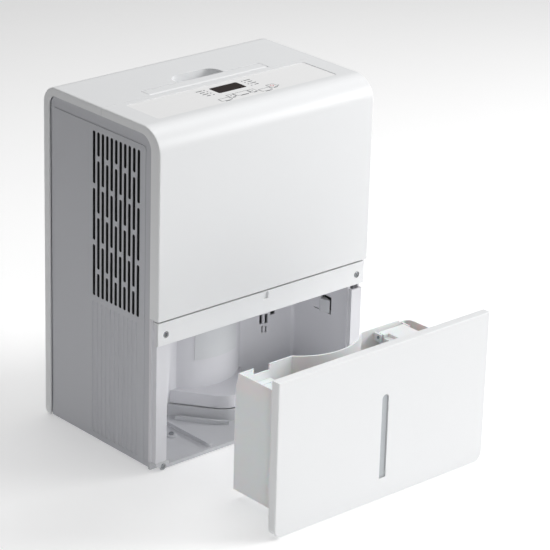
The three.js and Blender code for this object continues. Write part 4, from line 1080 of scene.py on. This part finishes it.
# %% Finishes for the rest
FINISHES = {
    RUBBER: [
        "foot_front_left", "foot_front_right", "foot_rear_left", "foot_rear_right", "cord_gland",
        "drain_plug", "compressor_grommet_1", "compressor_grommet_2", "compressor_grommet_3",
    ],
    # The fan scroll is dark grey so that the space behind the side slots reads dark: painted shade.
    DARK_PP: ["bucket_switch", "drain_spout", "drip_tray", "power_board_box", "fan_scroll"],
    ZINC: ["handle_pin_left", "handle_pin_right", "float_pin"],
    GALVANISED: ["fan_motor", "partition_plate", "run_capacitor"],
    COPPER: ["accumulator", "suction_pipe", "discharge_pipe"],
    ENAMEL: ["compressor"],
    BOARD_GREEN: ["control_board"],
}
for finish, names in FINISHES.items():
    for name in names:
        painted(name, finish)
print("nodes shown as they are", len([n for n, o in nodes.items() if not o.hide_render]))

# %% [markdown]
# ## Floor, light and camera
# A studio sweep: a pale floor, one large soft light on the right, another overhead, a narrow one that
# reaches into the bay, and a pale world. The camera stands to the front left, a little above, with a long
# lens.

# %% Floor
floor_half = 9.0
floor_mesh = bpy.data.meshes.new("studio_floor")
floor_mesh.from_pydata(
    [(x * floor_half, y * floor_half, 0) for x, y in ((-1, -1), (1, -1), (1, 1), (-1, 1))],
    [],
    [(0, 1, 2, 3)],
)
floor = bpy.data.objects.new("studio_floor", floor_mesh)
bpy.context.scene.collection.objects.link(floor)
# A faint glow of its own keeps the floor nearly white where the object shades it.
floor_paint = moulded(
    "pale_floor", "#FAFAFA", 0.7, 2.0, 0.02,
    Emission_Color=linear("#FFFFFF"), Emission_Strength=0.28,
)
floor_mesh.materials.append(floor_paint)
floor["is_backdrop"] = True

# %% Lights
def aimed(name, data, place, aim):
    """A lamp at place that points at aim."""
    lamp = bpy.data.objects.new(name, data)
    bpy.context.scene.collection.objects.link(lamp)
    lamp.location = place
    lamp.rotation_euler = (Vector(aim) - Vector(place)).to_track_quat("-Z", "Y").to_euler()


def soft_light(name, place, aim, size, power):
    """A square area light at place that points at aim."""
    data = bpy.data.lights.new(name, "AREA")
    data.shape = "RECTANGLE"
    data.size, data.size_y = size
    data.energy = power
    aimed(name, data, place, aim)


target = (0, 0, TOP / 2)
soft_light("right_key", (2.6, -1.6, 1.4), target, (1.8, 1.4), 79)
soft_light("top_soft", (0.3, 0.2, 2.8), target, (2.4, 2.4), 50)
# A narrow lamp from the front left fills the bay, which the large lamps only reach in part.
bay_lamp = bpy.data.lights.new("bay_fill", "SPOT")
bay_lamp.energy = 36
bay_lamp.spot_size = math.radians(19)
bay_lamp.spot_blend = 1.0
bay_lamp.shadow_soft_size = 0.25
aimed("bay_fill", bay_lamp, (-1.35, -1.75, 0.95), (-0.06, 0, 0.12))
world = bpy.data.worlds.new("studio_world")
world.use_nodes = True
world.node_tree.nodes["Background"].inputs["Color"].default_value = linear("#FFFFFF")
world.node_tree.nodes["Background"].inputs["Strength"].default_value = 0.05
bpy.context.scene.world = world
bpy.context.scene.view_settings.view_transform = "Standard"

# %% Camera
AZIMUTH, ELEVATION, ROLL = math.radians(-41.86), math.radians(22.2), math.radians(1.64)
DISTANCE = 3.771
ACROSS, ALONG = -0.096, 0.038
FOCAL = 2654 / 550  # lens over sensor width
LOOK_HEIGHT = 0.25
back = Vector(
    (
        math.sin(AZIMUTH) * math.cos(ELEVATION),
        -math.cos(AZIMUTH) * math.cos(ELEVATION),
        math.sin(ELEVATION),
    )
)
right = Vector((math.cos(AZIMUTH), math.sin(AZIMUTH), 0))
up = back.cross(right)
turned_right = math.cos(ROLL) * right + math.sin(ROLL) * up
turned_up = -math.sin(ROLL) * right + math.cos(ROLL) * up
camera_data = bpy.data.cameras.new("camera")
camera_data.sensor_width = 36
camera_data.lens = 36 * FOCAL
camera = bpy.data.objects.new("camera", camera_data)
bpy.context.scene.collection.objects.link(camera)
centre = Vector((0, MIDDLE_Y, LOOK_HEIGHT))
place = centre - ACROSS * turned_right - ALONG * turned_up + DISTANCE * back
turn = Matrix((turned_right, turned_up, back)).transposed().to_4x4()
camera.matrix_world = Matrix.Translation(place) @ turn
camera_data.clip_end = 100
bpy.context.scene.camera = camera
print("camera", [round(v, 3) for v in place])

# %% Size
low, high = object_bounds()
